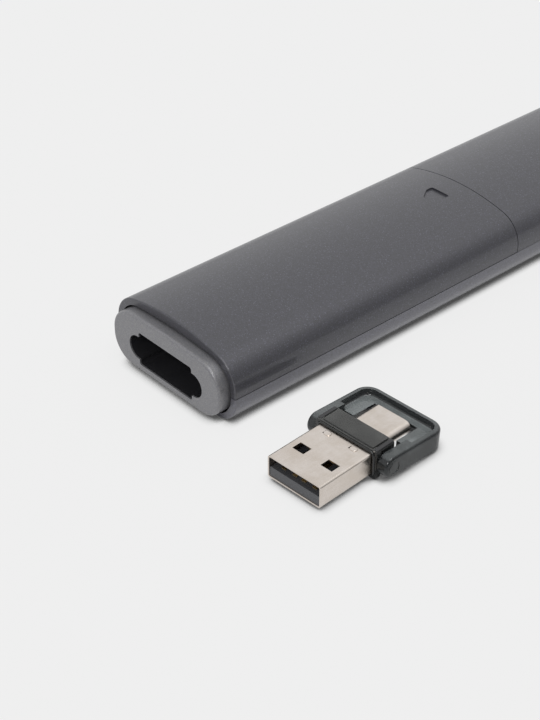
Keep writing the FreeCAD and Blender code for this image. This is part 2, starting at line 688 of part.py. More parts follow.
def make_key_shell():
    """Lower half shell with the key face, inner side walls, slide rails, bosses and a laser cradle."""
    body = new_body("key_shell")
    grow(body, casing_section(body, "key_shell_outside", tail), size.body_length)
    round_edges(body, size.nose_round, level_test("Y", nose), "key_shell_nose")
    round_edges(body, size.rim_edge, level_test("Y", tail), "key_shell_tail_edge")
    carve(body, casing_section(body, "key_shell_hollow", tail + size.rim_depth, inward=True),
          window_back_face - tail - size.rim_depth)
    carve(body, cap_section(body, "key_shell_rim", tail - beyond, size.cap_gap), size.rim_depth + beyond * 2)
    upper = sketch_on(body, "XZ", tail - beyond, "key_shell_upper")
    add_box(upper, -half_width - beyond, half_width + beyond, size.seam_height, body_height + beyond)
    carve(body, upper, size.body_length + beyond * 2)

    for side in (-1, 1):
        wall = sketch_on(body, "XZ", upstand_start, f"key_shell_upstand_{side + 1}")
        root = size.seam_height - size.upstand_root
        rooted = cavity_side + size.side_wall / 4
        profile = [(upstand_inner, root), (rooted, root), (rooted, size.seam_height),
                   (upstand_side, size.seam_height), (upstand_side, upstand_top),
                   (upstand_inner, upstand_top)]
        add_outline(wall, [(across * side, up) for across, up in profile])
        grow(body, wall, window_back_face - upstand_start)
        rail = sketch_on(body, "XZ", upstand_start, f"key_shell_rail_{side + 1}")
        reach = cavity_side + size.rail_depth
        add_outline(rail, [((upstand_side - size.slide_gap) * side, rail_low),
                           (reach * side, rail_low + size.rail_depth / 2),
                           (reach * side, rail_low + size.rail_height),
                           ((upstand_side - size.slide_gap) * side, rail_low + size.rail_height)])
        grow(body, rail, seam - upstand_start - size.lap_length)

    for spots, top, name in ((tray_screws, size.wing_height, "tray"),
                             (board_screws, size.board_height, "board")):
        posts = sketch_on(body, "XY", size.floor_wall / 2, f"key_shell_{name}_bosses")
        holes = sketch_on(body, "XY", size.floor_wall / 2 + size.screw_gap, f"key_shell_{name}_holes")
        for across, along in spots:
            add_circle(posts, across, along, size.boss_diameter)
            add_circle(holes, across, along, size.screw_shank)
        grow(body, posts, top - size.floor_wall / 2)
        carve(body, holes, top)

    cradle = sketch_on(body, "XZ", laser_back, "key_shell_cradle")
    add_box(cradle, -size.cradle_width / 2, size.cradle_width / 2, size.floor_wall / 2, laser_height - 1)
    grow(body, cradle, window_back_face - laser_back - size.laser_clear)
    trough = sketch_on(body, "XZ", laser_back - beyond, "key_shell_trough")
    add_circle(trough, 0, laser_height, size.laser_barrel + size.fit_gap * 2)
    carve(body, trough, laser_front - laser_back + beyond)
    carve_window(body, "key_shell_window")

    openings = sketch_on(body, "XY", -beyond, "key_shell_openings")
    add_circle(openings, 0, forward_key_y, forward_diameter + size.key_gap * 2)
    add_circle(openings, 0, laser_key_y, size.laser_diameter + size.key_gap * 2)
    add_obround(openings, 0, back_key_y, size.back_width + size.key_gap * 2,
                size.back_height + size.key_gap * 2)
    add_box(openings, -size.knob_width / 2 - size.key_gap, size.knob_width / 2 + size.key_gap,
            knob_slot_start, knob_slot_start + knob_slot_length)
    add_circle(openings, size.lamp_side, power_y, size.pipe_diameter + size.fit_gap * 2)
    carve(body, openings, size.floor_wall + beyond)


def make_back_shell():
    """Upper front half shell, with a lip that the battery cover laps over."""
    body = new_body("back_shell")
    grow(body, casing_section(body, "back_shell_outside", seam), nose - seam)
    round_edges(body, size.nose_round, level_test("Y", nose), "back_shell_nose")
    plug = casing_section(body, "back_shell_lip", seam - size.lap_length, inward=True,
                          extra_side=size.slide_gap, extra_roof=size.slide_gap)
    grow(body, plug, size.lap_length)
    bore = casing_section(body, "back_shell_lip_bore", seam - size.lap_length, inward=True,
                          extra_side=size.slide_gap + size.lap_wall,
                          extra_roof=size.slide_gap + size.lap_wall)
    carve(body, bore, size.lap_length + size.lap_web)
    web_end = seam + size.lap_web
    carve(body, casing_section(body, "back_shell_hollow", web_end, inward=True),
          window_back_face - web_end)
    lower = sketch_on(body, "XZ", seam - size.lap_length - beyond, "back_shell_lower")
    add_box(lower, -half_width - beyond, half_width + beyond, -beyond, size.seam_height + size.seam_gap / 2)
    carve(body, lower, nose - seam + size.lap_length + beyond * 2)
    for side in (-1, 1):
        relief = sketch_on(body, "XZ", seam - size.lap_length - beyond, f"back_shell_relief_{side + 1}")
        add_box(relief, (upstand_inner - size.wing_gap * 2) * side, cavity_side * side,
                size.seam_height - beyond, upstand_top + size.slide_gap)
        carve(body, relief, size.lap_length + size.lap_web + beyond)
    carve_window(body, "back_shell_window")


def make_battery_cover():
    """Upper rear half shell that slides off over the tail, grooved for the rails, with a sunk arrowhead."""
    body = new_body("battery_cover")
    length = size.cover_length - size.seam_gap
    grow(body, casing_section(body, "cover_outside", tail), length)
    round_edges(body, size.rim_edge, level_test("Y", tail), "cover_tail_edge")
    carve(body, casing_section(body, "cover_hollow", tail + size.rim_depth, inward=True), length)
    carve(body, cap_section(body, "cover_rim", tail - beyond, size.cap_gap), size.rim_depth + beyond * 2)
    lower = sketch_on(body, "XZ", tail - beyond, "cover_lower")
    add_box(lower, -half_width - beyond, half_width + beyond, -beyond, size.seam_height + size.seam_gap)
    carve(body, lower, length + beyond * 2)
    for side in (-1, 1):
        groove = sketch_on(body, "XZ", tail + size.rim_depth, f"cover_groove_{side + 1}")
        inner = cavity_side - size.slide_gap
        reach = cavity_side + size.rail_depth + size.slide_gap
        add_outline(groove, [(inner * side, rail_low - size.slide_gap * 2),
                             (reach * side, rail_low + size.rail_depth / 2 - size.slide_gap * 2),
                             (reach * side, rail_low + size.rail_height + size.slide_gap),
                             (inner * side, rail_low + size.rail_height + size.slide_gap)])
        carve(body, groove, length)

    base = seam - size.mark_setback
    mark = sketch_on(body, "XY", body_height - size.mark_depth, "cover_mark")
    half = size.mark_width / 2
    shoulder = base - size.mark_side
    add_outline(mark, [(-half, base), (-half, shoulder), (0, shoulder - size.mark_point),
                       (half, shoulder), (half, base)])
    carve(body, mark, beyond)

    def mark_corner(bounds):
        near = bounds.YMax < base.value + 0.01 and bounds.YMin > (base - body_height).value
        upright = bounds.XLength < 0.01 and bounds.YLength < 0.01
        return near and upright and abs(bounds.XMin) < half.value + 0.01

    def base_corner(bounds):
        return mark_corner(bounds) and bounds.YMin > base.value - 0.01

    def point_corner(bounds):
        return mark_corner(bounds) and bounds.YMin < shoulder.value + 0.01

    round_edges(body, size.mark_point_round, point_corner, "cover_mark_point")
    round_edges(body, size.mark_round, base_corner, "cover_mark_base")


def make_tail_cap():
    """Painted end plate that stands out of the casing, with the socket through it."""
    body = new_body("tail_cap")
    grow(body, cap_section(body, "cap_outside", cap_face, 0), size.cap_depth)
    round_edges(body, size.cap_edge, level_test("Y", cap_face), "cap_edge")
    carve_socket(body, cap_face - beyond, size.cap_depth + beyond * 2, 0, "cap_socket")
    carve_socket(body, cap_face + size.cap_lip, size.cap_depth, size.sleeve_wall + size.fit_gap,
                 "cap_counterbore")


def make_receiver_sleeve():
    """Black socket liner, closed at its far end, with a flange behind the tail cap."""
    body = new_body("receiver_sleeve")
    start = cap_face + size.cap_lip + size.fit_gap
    middle = sketch_on(body, "XZ", start, "sleeve_middle")
    half, rise = size.socket_width / 2 + size.sleeve_wall, size.socket_height / 2 + size.sleeve_wall
    add_rounded_box(middle, -half, half, socket_middle - rise, socket_middle + rise,
                    size.socket_corner + size.sleeve_wall)
    grow(body, middle, sleeve_back - start)
    slot = sketch_on(body, "XZ", start, "sleeve_slot")
    add_obround(slot, 0, socket_middle, size.lobe_width + size.sleeve_wall * 2,
                size.lobe_height + size.sleeve_wall * 2)
    grow(body, slot, sleeve_back - start)
    flange = sketch_on(body, "XZ", cap_back, "sleeve_flange")
    add_rounded_box(flange, -size.lobe_width / 2 - size.cap_edge * 4, size.lobe_width / 2 + size.cap_edge * 4,
                    size.floor_wall, socket_middle + rise + size.sleeve_wall,
                    size.cap_edge * 2)
    grow(body, flange, size.sleeve_wall * 2)
    carve_socket(body, start - beyond, socket_floor - start + beyond, 0, "sleeve_socket")


# The battery and its tray


def make_battery_tray():
    """Moulded channel for the cell, with wings that are screwed down to the key shell."""
    body = new_body("battery_tray")
    low = size.floor_wall
    half_profile = [(tray_outer, low), (tray_outer, size.wing_height), (wing_side, size.wing_height),
                    (wing_side, wing_top), (tray_outer, wing_top), (tray_outer, tray_wall_top),
                    (tray_inner, tray_wall_top), (tray_inner, low + size.tray_floor)]
    mirrored = [(-across, up) for across, up in reversed(half_profile)]
    channel = add_outline(sketch_on(body, "XZ", tray_back, "tray_channel"), half_profile + mirrored)
    grow(body, channel, tray_front - tray_back)
    for start, name in ((tray_back, "back"), (tray_front - size.tray_wall, "front")):
        wall = sketch_on(body, "XZ", start, f"tray_{name}_wall")
        add_box(wall, -tray_outer, tray_outer, low, tray_end_top)
        grow(body, wall, size.tray_wall)
    holes = sketch_on(body, "XY", size.wing_height - beyond, "tray_holes")
    for across, along in tray_screws:
        add_circle(holes, across, along, size.screw_shank + size.screw_gap * 2)
    carve(body, holes, size.wing_wall + beyond * 2)
    notch = sketch_on(body, "YZ", tray_inner - size.cell_gap, "tray_notch")
    add_box(notch, tail_contact_back - size.fit_gap, tail_contact_back + size.contact_sheet + size.fit_gap,
            cell_middle - size.strip_height / 2 - size.fit_gap, tray_wall_top + beyond)
    carve(body, notch, size.tray_wall + size.cell_gap * 2)


def make_battery_cell():
    """Cylindrical cell with its nub towards the nose."""
    body = new_body("battery_cell")
    profile = sketch_on(body, "XY", 0, "cell_profile")
    radius, trim, shoulder = size.cell_diameter / 2, size.cell_chamfer, cell_front - size.nub_length
    add_outline(profile, [(0, cell_back), (radius - trim, cell_back), (radius, cell_back + trim),
                          (radius, shoulder - trim), (radius - trim, shoulder),
                          (size.nub_diameter / 2, shoulder), (size.nub_diameter / 2, cell_front),
                          (0, cell_front)])
    turned = body.newObject("PartDesign::Revolution", "cell_turned")
    turned.Profile = profile
    turned.ReferenceAxis = (profile, ["V_Axis"])
    turned.Angle = 360
    bind(body, "Placement.Base.z", cell_middle)


def coil_points(turns, steps):
    """Points and directions along a tapering coil about +Y, from the contact to the cell."""
    start, end = tail_contact_back + size.contact_sheet, cell_back
    wire = size.spring_wire.value
    rise = end.value - start.value - wire
    shrink = size.spring_tip_radius.value - size.spring_radius.value
    points, directions = [], []
    for step in range(steps + 1):
        share = step / steps
        angle = 2 * math.pi * turns * share
        radius = size.spring_radius.value + shrink * share
        points.append(Vector(radius * math.cos(angle), start.value + wire / 2 + rise * share,
                             cell_middle.value + radius * math.sin(angle)))
        swing = 2 * math.pi * turns
        heading = Vector(shrink * math.cos(angle) - radius * math.sin(angle) * swing, rise,
                         shrink * math.sin(angle) + radius * math.cos(angle) * swing)
        directions.append(heading.normalize())
    return points, directions


def biarc(start, leaving, end, arriving):
    """Two arcs that meet smoothly between two points with given directions."""
    chord = end - start
    both = leaving + arriving
    curl = 2 * (leaving.dot(arriving) - 1)
    along = chord.dot(both)
    reach = (along - math.sqrt(along ** 2 - curl * chord.dot(chord))) / curl
    meeting = (start + leaving * reach + end - arriving * reach) * 0.5
    edges = []
    for first, control, last in ((start, start + leaving * reach, meeting),
                                 (meeting, end - arriving * reach, end)):
        middle = (first + last) * 0.5
        outward = control - middle
        half = (last - first).Length / 2
        bulge = half * math.tan(math.atan2(outward.Length, half) / 2)
        edges.append(Part.Arc(first, middle + outward.normalize() * bulge, last).toShape())
    return edges


def make_battery_spring():
    """Tapering coil spring between the tail contact and the cell, one unbroken wire."""
    turns = int(size.spring_turns.value)
    points, directions = coil_points(turns, turns * 4)
    edges = []
    for step in range(len(points) - 1):
        edges += biarc(points[step], directions[step], points[step + 1], directions[step + 1])
    path = Part.Wire(edges)
    ring = Part.Wire(Part.makeCircle(size.spring_wire.value / 2, points[0], directions[0]))
    shell = Part.BRepOffsetAPI.MakePipeShell(path)
    shell.add(ring)
    shell.build()
    shell.makeSolid()
    spring = doc.addObject("Part::Feature", "battery_spring")
    spring.Shape = shell.shape()
    gap = (size.spring_length.value - size.spring_wire.value) / turns - size.spring_wire.value
    print(f"battery spring: least gap between turns {gap:.2f} mm")
    keep(spring, "battery_spring")


def make_contacts():
    """Tail contact with its strip to the board, and front contact with its foot on the board."""
    sheet, half = size.contact_sheet, size.contact_width / 2
    low, high = cell_middle - size.strip_height / 2, cell_middle + size.strip_height / 2
    strip, back = size.strip_side, tail_contact_back
    foot = board_start + size.board_start_gap
    tail_pieces = [
        block(
            "tail_contact_plate", (-half, half), (back, back + sheet), (cell_middle - half, cell_middle + half)
        ),
        block("tail_contact_arm", (half - sheet, strip), (back, back + sheet), (low, high)),
        block("tail_contact_strip", (strip - sheet, strip), (back, foot + strip / 4), (low, high)),
        block("tail_contact_leg", (strip - sheet, strip), (foot, foot + strip / 4), (board_top, high)),
    ]
    keep(joined("tail_contact", tail_pieces), "tail_contact")
    top = tray_end_top + sheet
    bridge = tray_front + size.fit_gap
    front_pieces = [
        block("front_contact_plate", (-half, half), (cell_front, front_contact), (cell_middle - half, top)),
        block("front_contact_bridge", (-half, half), (cell_front, bridge + sheet), (tray_end_top, top)),
        block("front_contact_leg", (-half, half), (bridge, bridge + sheet), (board_top, top)),
        block(
            "front_contact_foot", (-half, half), (bridge, foot + strip / 4), (board_top, board_top + sheet)
        ),
    ]
    keep(joined("front_contact", front_pieces), "front_contact")


def make_screw(name, across, along, seat):
    """Pan-head screw with a hexagon drive, head down on its seat."""
    pieces = [bar(f"{name}_shank", size.screw_shank - size.fit_gap * 2, size.screw_length, across, along,
                  seat - size.screw_length),
              bar(f"{name}_head", size.screw_head, size.screw_head_height, across, along, seat)]
    drive = doc.addObject("Part::Prism", f"{name}_drive")
    drive.Polygon = 6
    bind(drive, "Circumradius", size.screw_drive_width / 2)
    bind(drive, "Height", size.screw_drive * 2)
    place(drive, across, along, seat + size.screw_head_height - size.screw_drive)
    return cut_from(name, joined(f"{name}_blank", pieces), [drive])


def make_screws():
    """Screws of the battery tray and of the circuit board."""
    for label, spots, seat in (("tray_screws", tray_screws, wing_top),
                               ("board_screws", board_screws, board_top)):
        grouped(label, [make_screw(f"{label[:-1]}_{number}", across, along, seat)
                        for number, (across, along) in enumerate(spots)])


# The circuit board and its keys


def make_main_board():
    """Circuit board with round corners and screw holes."""
    body = new_body("main_board")
    half = size.board_width / 2
    plate = sketch_on(body, "XY", size.board_height, "board_plate")
    add_rounded_box(plate, -half, half, board_start, board_end, size.board_corner)
    grow(body, plate, size.board_thickness)
    holes = sketch_on(body, "XY", size.board_height - beyond, "board_holes")
    for across, along in board_screws:
        add_circle(holes, across, along, size.screw_shank + size.screw_gap * 2)
    carve(body, holes, size.board_thickness + beyond * 2)


def make_switches():
    """Tactile switches under the board, one for each key, with a well for the key's stem."""
    half, low = size.switch_width / 2, size.board_height - size.switch_height
    pieces = []
    for number, along in enumerate(key_rows):
        case = block(f"switch_{number}_case", (-half, half), (along - half, along + half),
                     (low, size.board_height))
        well = bar(f"switch_{number}_well", size.switch_well, size.switch_well_depth + beyond, 0, along,
                   low - beyond)
        pieces.append(cut_from(f"switch_{number}", case, [well]))
    grouped("tactile_switches", pieces)


def finish_key(body, along, name):
    """Add the stem that runs from a key's flange into the switch's well."""
    flange_top = size.floor_wall + size.key_flange_height
    stem = sketch_on(body, "XY", flange_top, f"{name}_stem")
    add_circle(stem, 0, along, size.stem_diameter)
    well_floor = size.board_height - size.switch_height + size.switch_well_depth
    grow(body, stem, well_floor - size.key_travel - size.fit_gap - flange_top)


def make_round_key(label, along, diameter):
    """Round key with a dished face, a flange inside the casing and a stem."""
    body = new_body(label)
    face = sketch_on(body, "XY", size.key_recess, f"{label}_face")
    add_circle(face, 0, along, diameter)
    grow(body, face, size.floor_wall - size.key_recess)
    round_edges(body, size.key_round, level_test("Z", size.key_recess), f"{label}_edge")
    flange = sketch_on(body, "XY", size.floor_wall, f"{label}_flange")
    add_circle(flange, 0, along, diameter + size.key_flange * 2)
    grow(body, flange, size.key_flange_height)
    finish_key(body, along, label)
    dish = body.newObject("PartDesign::SubtractiveSphere", f"{label}_dish")
    plane = next(item for item in body.Origin.OriginFeatures if item.Role == "XY_Plane")
    dish.AttachmentSupport = [(plane, "")]
    dish.MapMode = "FlatFace"
    bind(dish, "Radius", size.dish_radius)
    bind(dish, "AttachmentOffset.Base.y", along)
    bind(dish, "AttachmentOffset.Base.z", size.key_recess + size.dish_depth - size.dish_radius)


def make_back_key():
    """Obround key with a flange inside the casing and a stem."""
    body = new_body("back_key")
    face = sketch_on(body, "XY", size.key_recess, "back_key_face")
    add_obround(face, 0, back_key_y, size.back_width, size.back_height)
    grow(body, face, size.floor_wall - size.key_recess)
    round_edges(body, size.key_round, level_test("Z", size.key_recess), "back_key_edge")
    flange = sketch_on(body, "XY", size.floor_wall, "back_key_flange")
    add_obround(flange, 0, back_key_y, size.back_width + size.key_flange * 2,
                size.back_height + size.key_flange * 2)
    grow(body, flange, size.key_flange_height)
    finish_key(body, back_key_y, "back_key")


def make_power_slider():
    """Ribbed slider in a slot of the key face, with a flange and a tang into the power switch."""
    body = new_body("power_slider")
    half = size.knob_width / 2
    knob = sketch_on(body, "XY", size.key_recess + size.knob_rib, "knob_face")
    add_box(knob, -half, half, knob_start, knob_start + size.knob_length)
    grow(body, knob, size.floor_wall - size.key_recess - size.knob_rib)
    ribs = sketch_on(body, "XY", size.key_recess, "knob_ribs")
    rib = size.knob_length / 9
    for number in range(4):
        start = knob_start + rib * (1 + 2 * number)
        add_box(ribs, -half, half, start, start + rib)
    grow(body, ribs, size.knob_rib)
    flange = sketch_on(body, "XY", size.floor_wall, "knob_flange")
    spread = size.knob_flange + size.knob_travel
    add_box(flange, -half - size.knob_flange, half + size.knob_flange,
            knob_start - spread, knob_start + size.knob_length + size.knob_flange)
    grow(body, flange, size.knob_flange_height)
    tang = sketch_on(body, "XY", size.floor_wall + size.knob_flange_height, "knob_tang")
    middle = knob_start + size.knob_length / 2
    add_box(tang, -size.tang_width / 2, size.tang_width / 2,
            middle - size.tang_width / 2, middle + size.tang_width / 2)
    grow(body, tang, size.board_height - size.power_switch_height / 2 - size.floor_wall
         - size.knob_flange_height)


def make_power_switch():
    """Slide switch under the board, slotted for the slider's tang."""
    half, long_half = size.power_switch_width / 2, size.power_switch_length / 2
    low = size.board_height - size.power_switch_height
    case = block("power_switch_case", (-half, half), (power_y - long_half, power_y + long_half),
                 (low, size.board_height))
    tang_start = knob_start + size.knob_length / 2 - size.tang_width / 2 - size.key_gap
    slot_half = size.tang_width / 2 + size.key_gap
    slot = block("power_switch_slot", (-slot_half, slot_half),
                 (tang_start, tang_start + size.tang_width + size.knob_travel + size.key_gap * 2),
                 (low - beyond, size.board_height - size.power_switch_height / 2 + size.key_gap))
    keep(cut_from("power_switch", case, [slot]), "power_switch")


def make_board_pieces():
    """Status lamp, light pipe, radio chip and crystal."""
    half = size.lamp_size / 2
    low = size.board_height - size.lamp_height
    lamp = block("status_lamp", (size.lamp_side - half, size.lamp_side + half),
                 (power_y - half, power_y + half), (low, size.board_height))
    keep(lamp, "status_lamp")
    head_top = size.floor_wall + size.pipe_head_height
    pipe = [bar("pipe_rod", size.pipe_diameter, low - size.fit_gap - size.key_recess, size.lamp_side, power_y,
                size.key_recess),
            bar("pipe_flange", size.pipe_head, head_top - size.floor_wall, size.lamp_side, power_y,
                size.floor_wall)]
    keep(joined("light_pipe", pipe), "light_pipe")
    chip_half = size.chip_size / 2
    chip_y = forward_key_y
    chip = block("radio_chip", (-chip_half, chip_half), (chip_y - chip_half, chip_y + chip_half),
                 (board_top, board_top + size.chip_height))
    keep(chip, "radio_chip")
    crystal_y = chip_y - size.chip_size
    crystal = block("crystal", (-size.crystal_length / 2, size.crystal_length / 2),
                    (crystal_y - size.crystal_width / 2, crystal_y + size.crystal_width / 2),
                    (board_top, board_top + size.crystal_height))
    keep(crystal, "crystal")


def make_laser():
    """Laser module in its cradle, the lens in its mouth and the window in the nose."""
    barrel = bar("laser_barrel", size.laser_barrel, size.laser_length, 0, laser_back, laser_height, "Y")
    mouth = bar("laser_mouth", size.laser_bore, size.laser_bore_depth + beyond, 0,
                laser_front - size.laser_bore_depth, laser_height, "Y")
    keep(cut_from("laser_module", barrel, [mouth]), "laser_module")
    lens = bar("laser_lens", size.laser_bore - size.fit_gap * 2, size.lens_thickness, 0,
               laser_front - size.lens_setback - size.lens_thickness, laser_height, "Y")
    keep(lens, "laser_lens")
    body = new_body("laser_window")
    pane = sketch_on(body, "XZ", window_back_face, "window_pane")
    add_obround(pane, 0, laser_height, size.window_width, size.window_height)
    grow(body, pane, size.end_wall - size.window_setback)


# The receiver, drawn with its plug tip at the origin and +Y towards the USB-C plug

middle_height = size.block_height / 2
block_front = size.plug_reach
block_back = block_front + size.block_depth
pivot_y = block_front + size.pivot_back
block_half = size.block_width / 2


def lay_receiver_piece(thing):
    """Turn a finished receiver piece and set it down beside the handset's tail."""
    thing.Placement = Placement(Vector(), Rotation(Vector(0, 0, 1), size.receiver_yaw.value))
    place(thing, size.receiver_x, -size.receiver_y, 0)
    return thing


def make_plug_shell():
    """USB-A shell: a folded sheet tube with locking windows and half-round stops on both faces."""
    body = new_body("usb_a_shell")
    half, rise = size.plug_width / 2, size.plug_height / 2
    tube = sketch_on(body, "XZ", 0, "plug_tube")
    add_rounded_box(tube, -half, half, middle_height - rise, middle_height + rise, size.plug_corner)
    grow(body, tube, size.plug_reach + size.plug_root)
    sheet = size.plug_sheet
    bore = sketch_on(body, "XZ", -beyond, "plug_bore")
    add_rounded_box(bore, sheet - half, half - sheet, middle_height - rise + sheet,
                    middle_height + rise - sheet, size.plug_corner - sheet)
    carve(body, bore, size.plug_reach + size.plug_root + beyond * 2)
    windows = sketch_on(body, "XY", -beyond, "plug_windows")
    stops = sketch_on(body, "XY", -beyond, "plug_stops")
    for side in (-1, 1):
        middle = size.window_side * side
        add_box(windows, middle - size.window_across / 2, middle + size.window_across / 2,
                size.window_back - size.window_along / 2, size.window_back + size.window_along / 2)
        slit = size.dimple_slit
        radius = size.dimple_diameter / 2
        across = size.dimple_side * side
        add_box(stops, across - radius, across - radius + slit, size.dimple_back - radius / 2,
                size.dimple_back + radius / 2)
    carve(body, windows, size.block_height + beyond * 2)
    carve(body, stops, size.block_height + beyond * 2)
    lay_receiver_piece(body)


def make_tongue():
    """USB-A tongue on the floor of the shell, and its four contacts."""
    half = size.plug_width / 2 - size.plug_sheet - size.fit_gap
    low = middle_height - size.plug_height / 2 + size.plug_sheet
    top = low + size.tongue_thickness
    end = size.plug_reach + size.plug_root
    body = new_body("usb_a_tongue")
    plate = sketch_on(body, "XZ", size.tongue_setback, "tongue_plate")
    add_rounded_box(plate, -half, half, low, top, size.plug_corner - size.plug_sheet)
    grow(body, plate, end - size.tongue_setback)
    lay_receiver_piece(body)
    fingers = []
    start = size.tongue_setback * 8
    for number, (across, length) in enumerate((
            (-size.finger_outer_side, size.finger_length), (-size.finger_inner_side, size.finger_short),
            (size.finger_inner_side, size.finger_short), (size.finger_outer_side, size.finger_length))):
        sides = (across - size.finger_width / 2, across + size.finger_width / 2)
        fingers.append(block(f"finger_{number}", sides,
                             (start, start + length), (top, top + size.finger_sheet)))
    lay_receiver_piece(grouped("usb_a_contacts", fingers))


def make_receiver_block():
    """Clear smoky housing between the plugs, hollow, with a collar at the USB-A side."""
    body = new_body("receiver_block")
    collar = sketch_on(body, "XZ", block_front, "block_collar")
    add_rounded_box(collar, -block_half, block_half, 0, size.block_height, size.block_corner)
    grow(body, collar, size.collar_depth)
    inset = size.waist_inset
    waist = sketch_on(body, "XZ", block_front, "block_waist")
    add_rounded_box(waist, inset - block_half, block_half - inset, inset / 2, size.block_height - inset / 2,
                    size.block_corner)
    grow(body, waist, size.block_depth)
    round_edges(body, size.block_corner / 3, level_test("Y", block_back), "block_back_edge")
    wall = size.block_wall
    hollow_half = block_half - size.pivot_root - size.waist_inset
    hollow = sketch_on(body, "XZ", block_front + wall, "block_hollow")
    add_rounded_box(hollow, -hollow_half, hollow_half, wall, size.block_height - wall, size.block_corner)
    carve(body, hollow, size.block_depth - wall * 2)
    half, rise = size.plug_width / 2 + size.fit_gap, size.plug_height / 2 + size.fit_gap
    mouth = sketch_on(body, "XZ", block_front - beyond, "block_mouth")
    add_rounded_box(mouth, -half, half, middle_height - rise, middle_height + rise, size.plug_corner)
    carve(body, mouth, beyond + size.plug_root + size.fit_gap)
    small_mouth = sketch_on(body, "XZ", block_back - size.plug_root - size.fit_gap, "block_small_mouth")
    add_obround(small_mouth, 0, middle_height, size.small_plug_width + size.fit_gap * 2,
                size.small_plug_height + size.fit_gap * 2)
    carve(body, small_mouth, size.plug_root + beyond)
    sockets = sketch_on(body, "YZ", -block_half - beyond, "block_sockets")
    add_circle(sockets, pivot_y, middle_height, size.pivot_diameter + size.fit_gap * 2)
    carve(body, sockets, size.block_width + beyond * 2)
    lay_receiver_piece(body)


def make_pivot_plugs():
    """Two dark plugs pushed into the ends of the block, with the pins that the frame turns on."""
    pieces = []
    for side in (-1, 1):
        inner = block_half - size.waist_inset - size.pivot_root
        start = inner if side == 1 else -block_half - size.pivot_reach + size.waist_inset
        length = size.pivot_root + size.pivot_reach
        plug = bar(f"pivot_{side + 1}", size.pivot_diameter, length, start, pivot_y, middle_height, "X")
        pieces.append(plug)
    lay_receiver_piece(grouped("pivot_plugs", pieces))


def make_small_plug():
    """USB-C shell, an obround tube, with its tongue."""
    start, end = block_back - size.plug_root, block_back + size.small_plug_reach
    body = new_body("usb_c_shell")
    tube = sketch_on(body, "XZ", start, "small_tube")
    add_obround(tube, 0, middle_height, size.small_plug_width, size.small_plug_height)
    grow(body, tube, end - start)
    bore = sketch_on(body, "XZ", start - beyond, "small_bore")
    add_obround(bore, 0, middle_height, size.small_plug_width - size.plug_sheet * 2,
                size.small_plug_height - size.plug_sheet * 2)
    carve(body, bore, end - start + beyond * 2)
    lay_receiver_piece(body)
    half, rise = size.small_tongue_width / 2, size.small_tongue_height / 2
    wide = size.small_plug_width / 2 - size.plug_sheet - size.small_plug_height / 2
    web = size.small_plug_height / 2 - size.plug_sheet
    pieces = [block("small_tongue_blade", (-half, half), (start, end - size.small_tongue_setback),
                    (middle_height - rise, middle_height + rise)),
              block("small_tongue_root", (-wide, wide), (start, block_back + size.plug_root),
                    (middle_height - web, middle_height + web))]
    lay_receiver_piece(keep(joined("usb_c_tongue", pieces), "usb_c_tongue"))


def make_receiver_board():
    """Small board between the plugs inside the block, with its chip."""
    half = size.receiver_board_width / 2
    start = block_front + size.plug_root + size.fit_gap
    end = block_back - size.plug_root - size.fit_gap
    low = middle_height - size.receiver_board_sheet / 2
    board = block("receiver_board_plate", (-half, half), (start, end), (low, low + size.receiver_board_sheet))
    lay_receiver_piece(grouped("receiver_board", [board]))
    chip_half, top = size.receiver_chip_size / 2, low + size.receiver_board_sheet
    chip_top = top + size.receiver_chip_height
    chip = block("receiver_chip_case", (-chip_half, chip_half), (start, end), (top, chip_top))
    lay_receiver_piece(grouped("receiver_chip", [chip]))


def droop_angle():
    """Angle, in degrees, at which the frame's rounded far edge meets the table."""
    edge = size.frame_edge.value
    along, down = size.frame_reach.value - edge, size.frame_thickness.value / 2 - edge
    drop = middle_height.value - size.table_gap.value - edge
    return math.degrees(math.asin(drop / math.hypot(along, down)) - math.atan2(down, along))


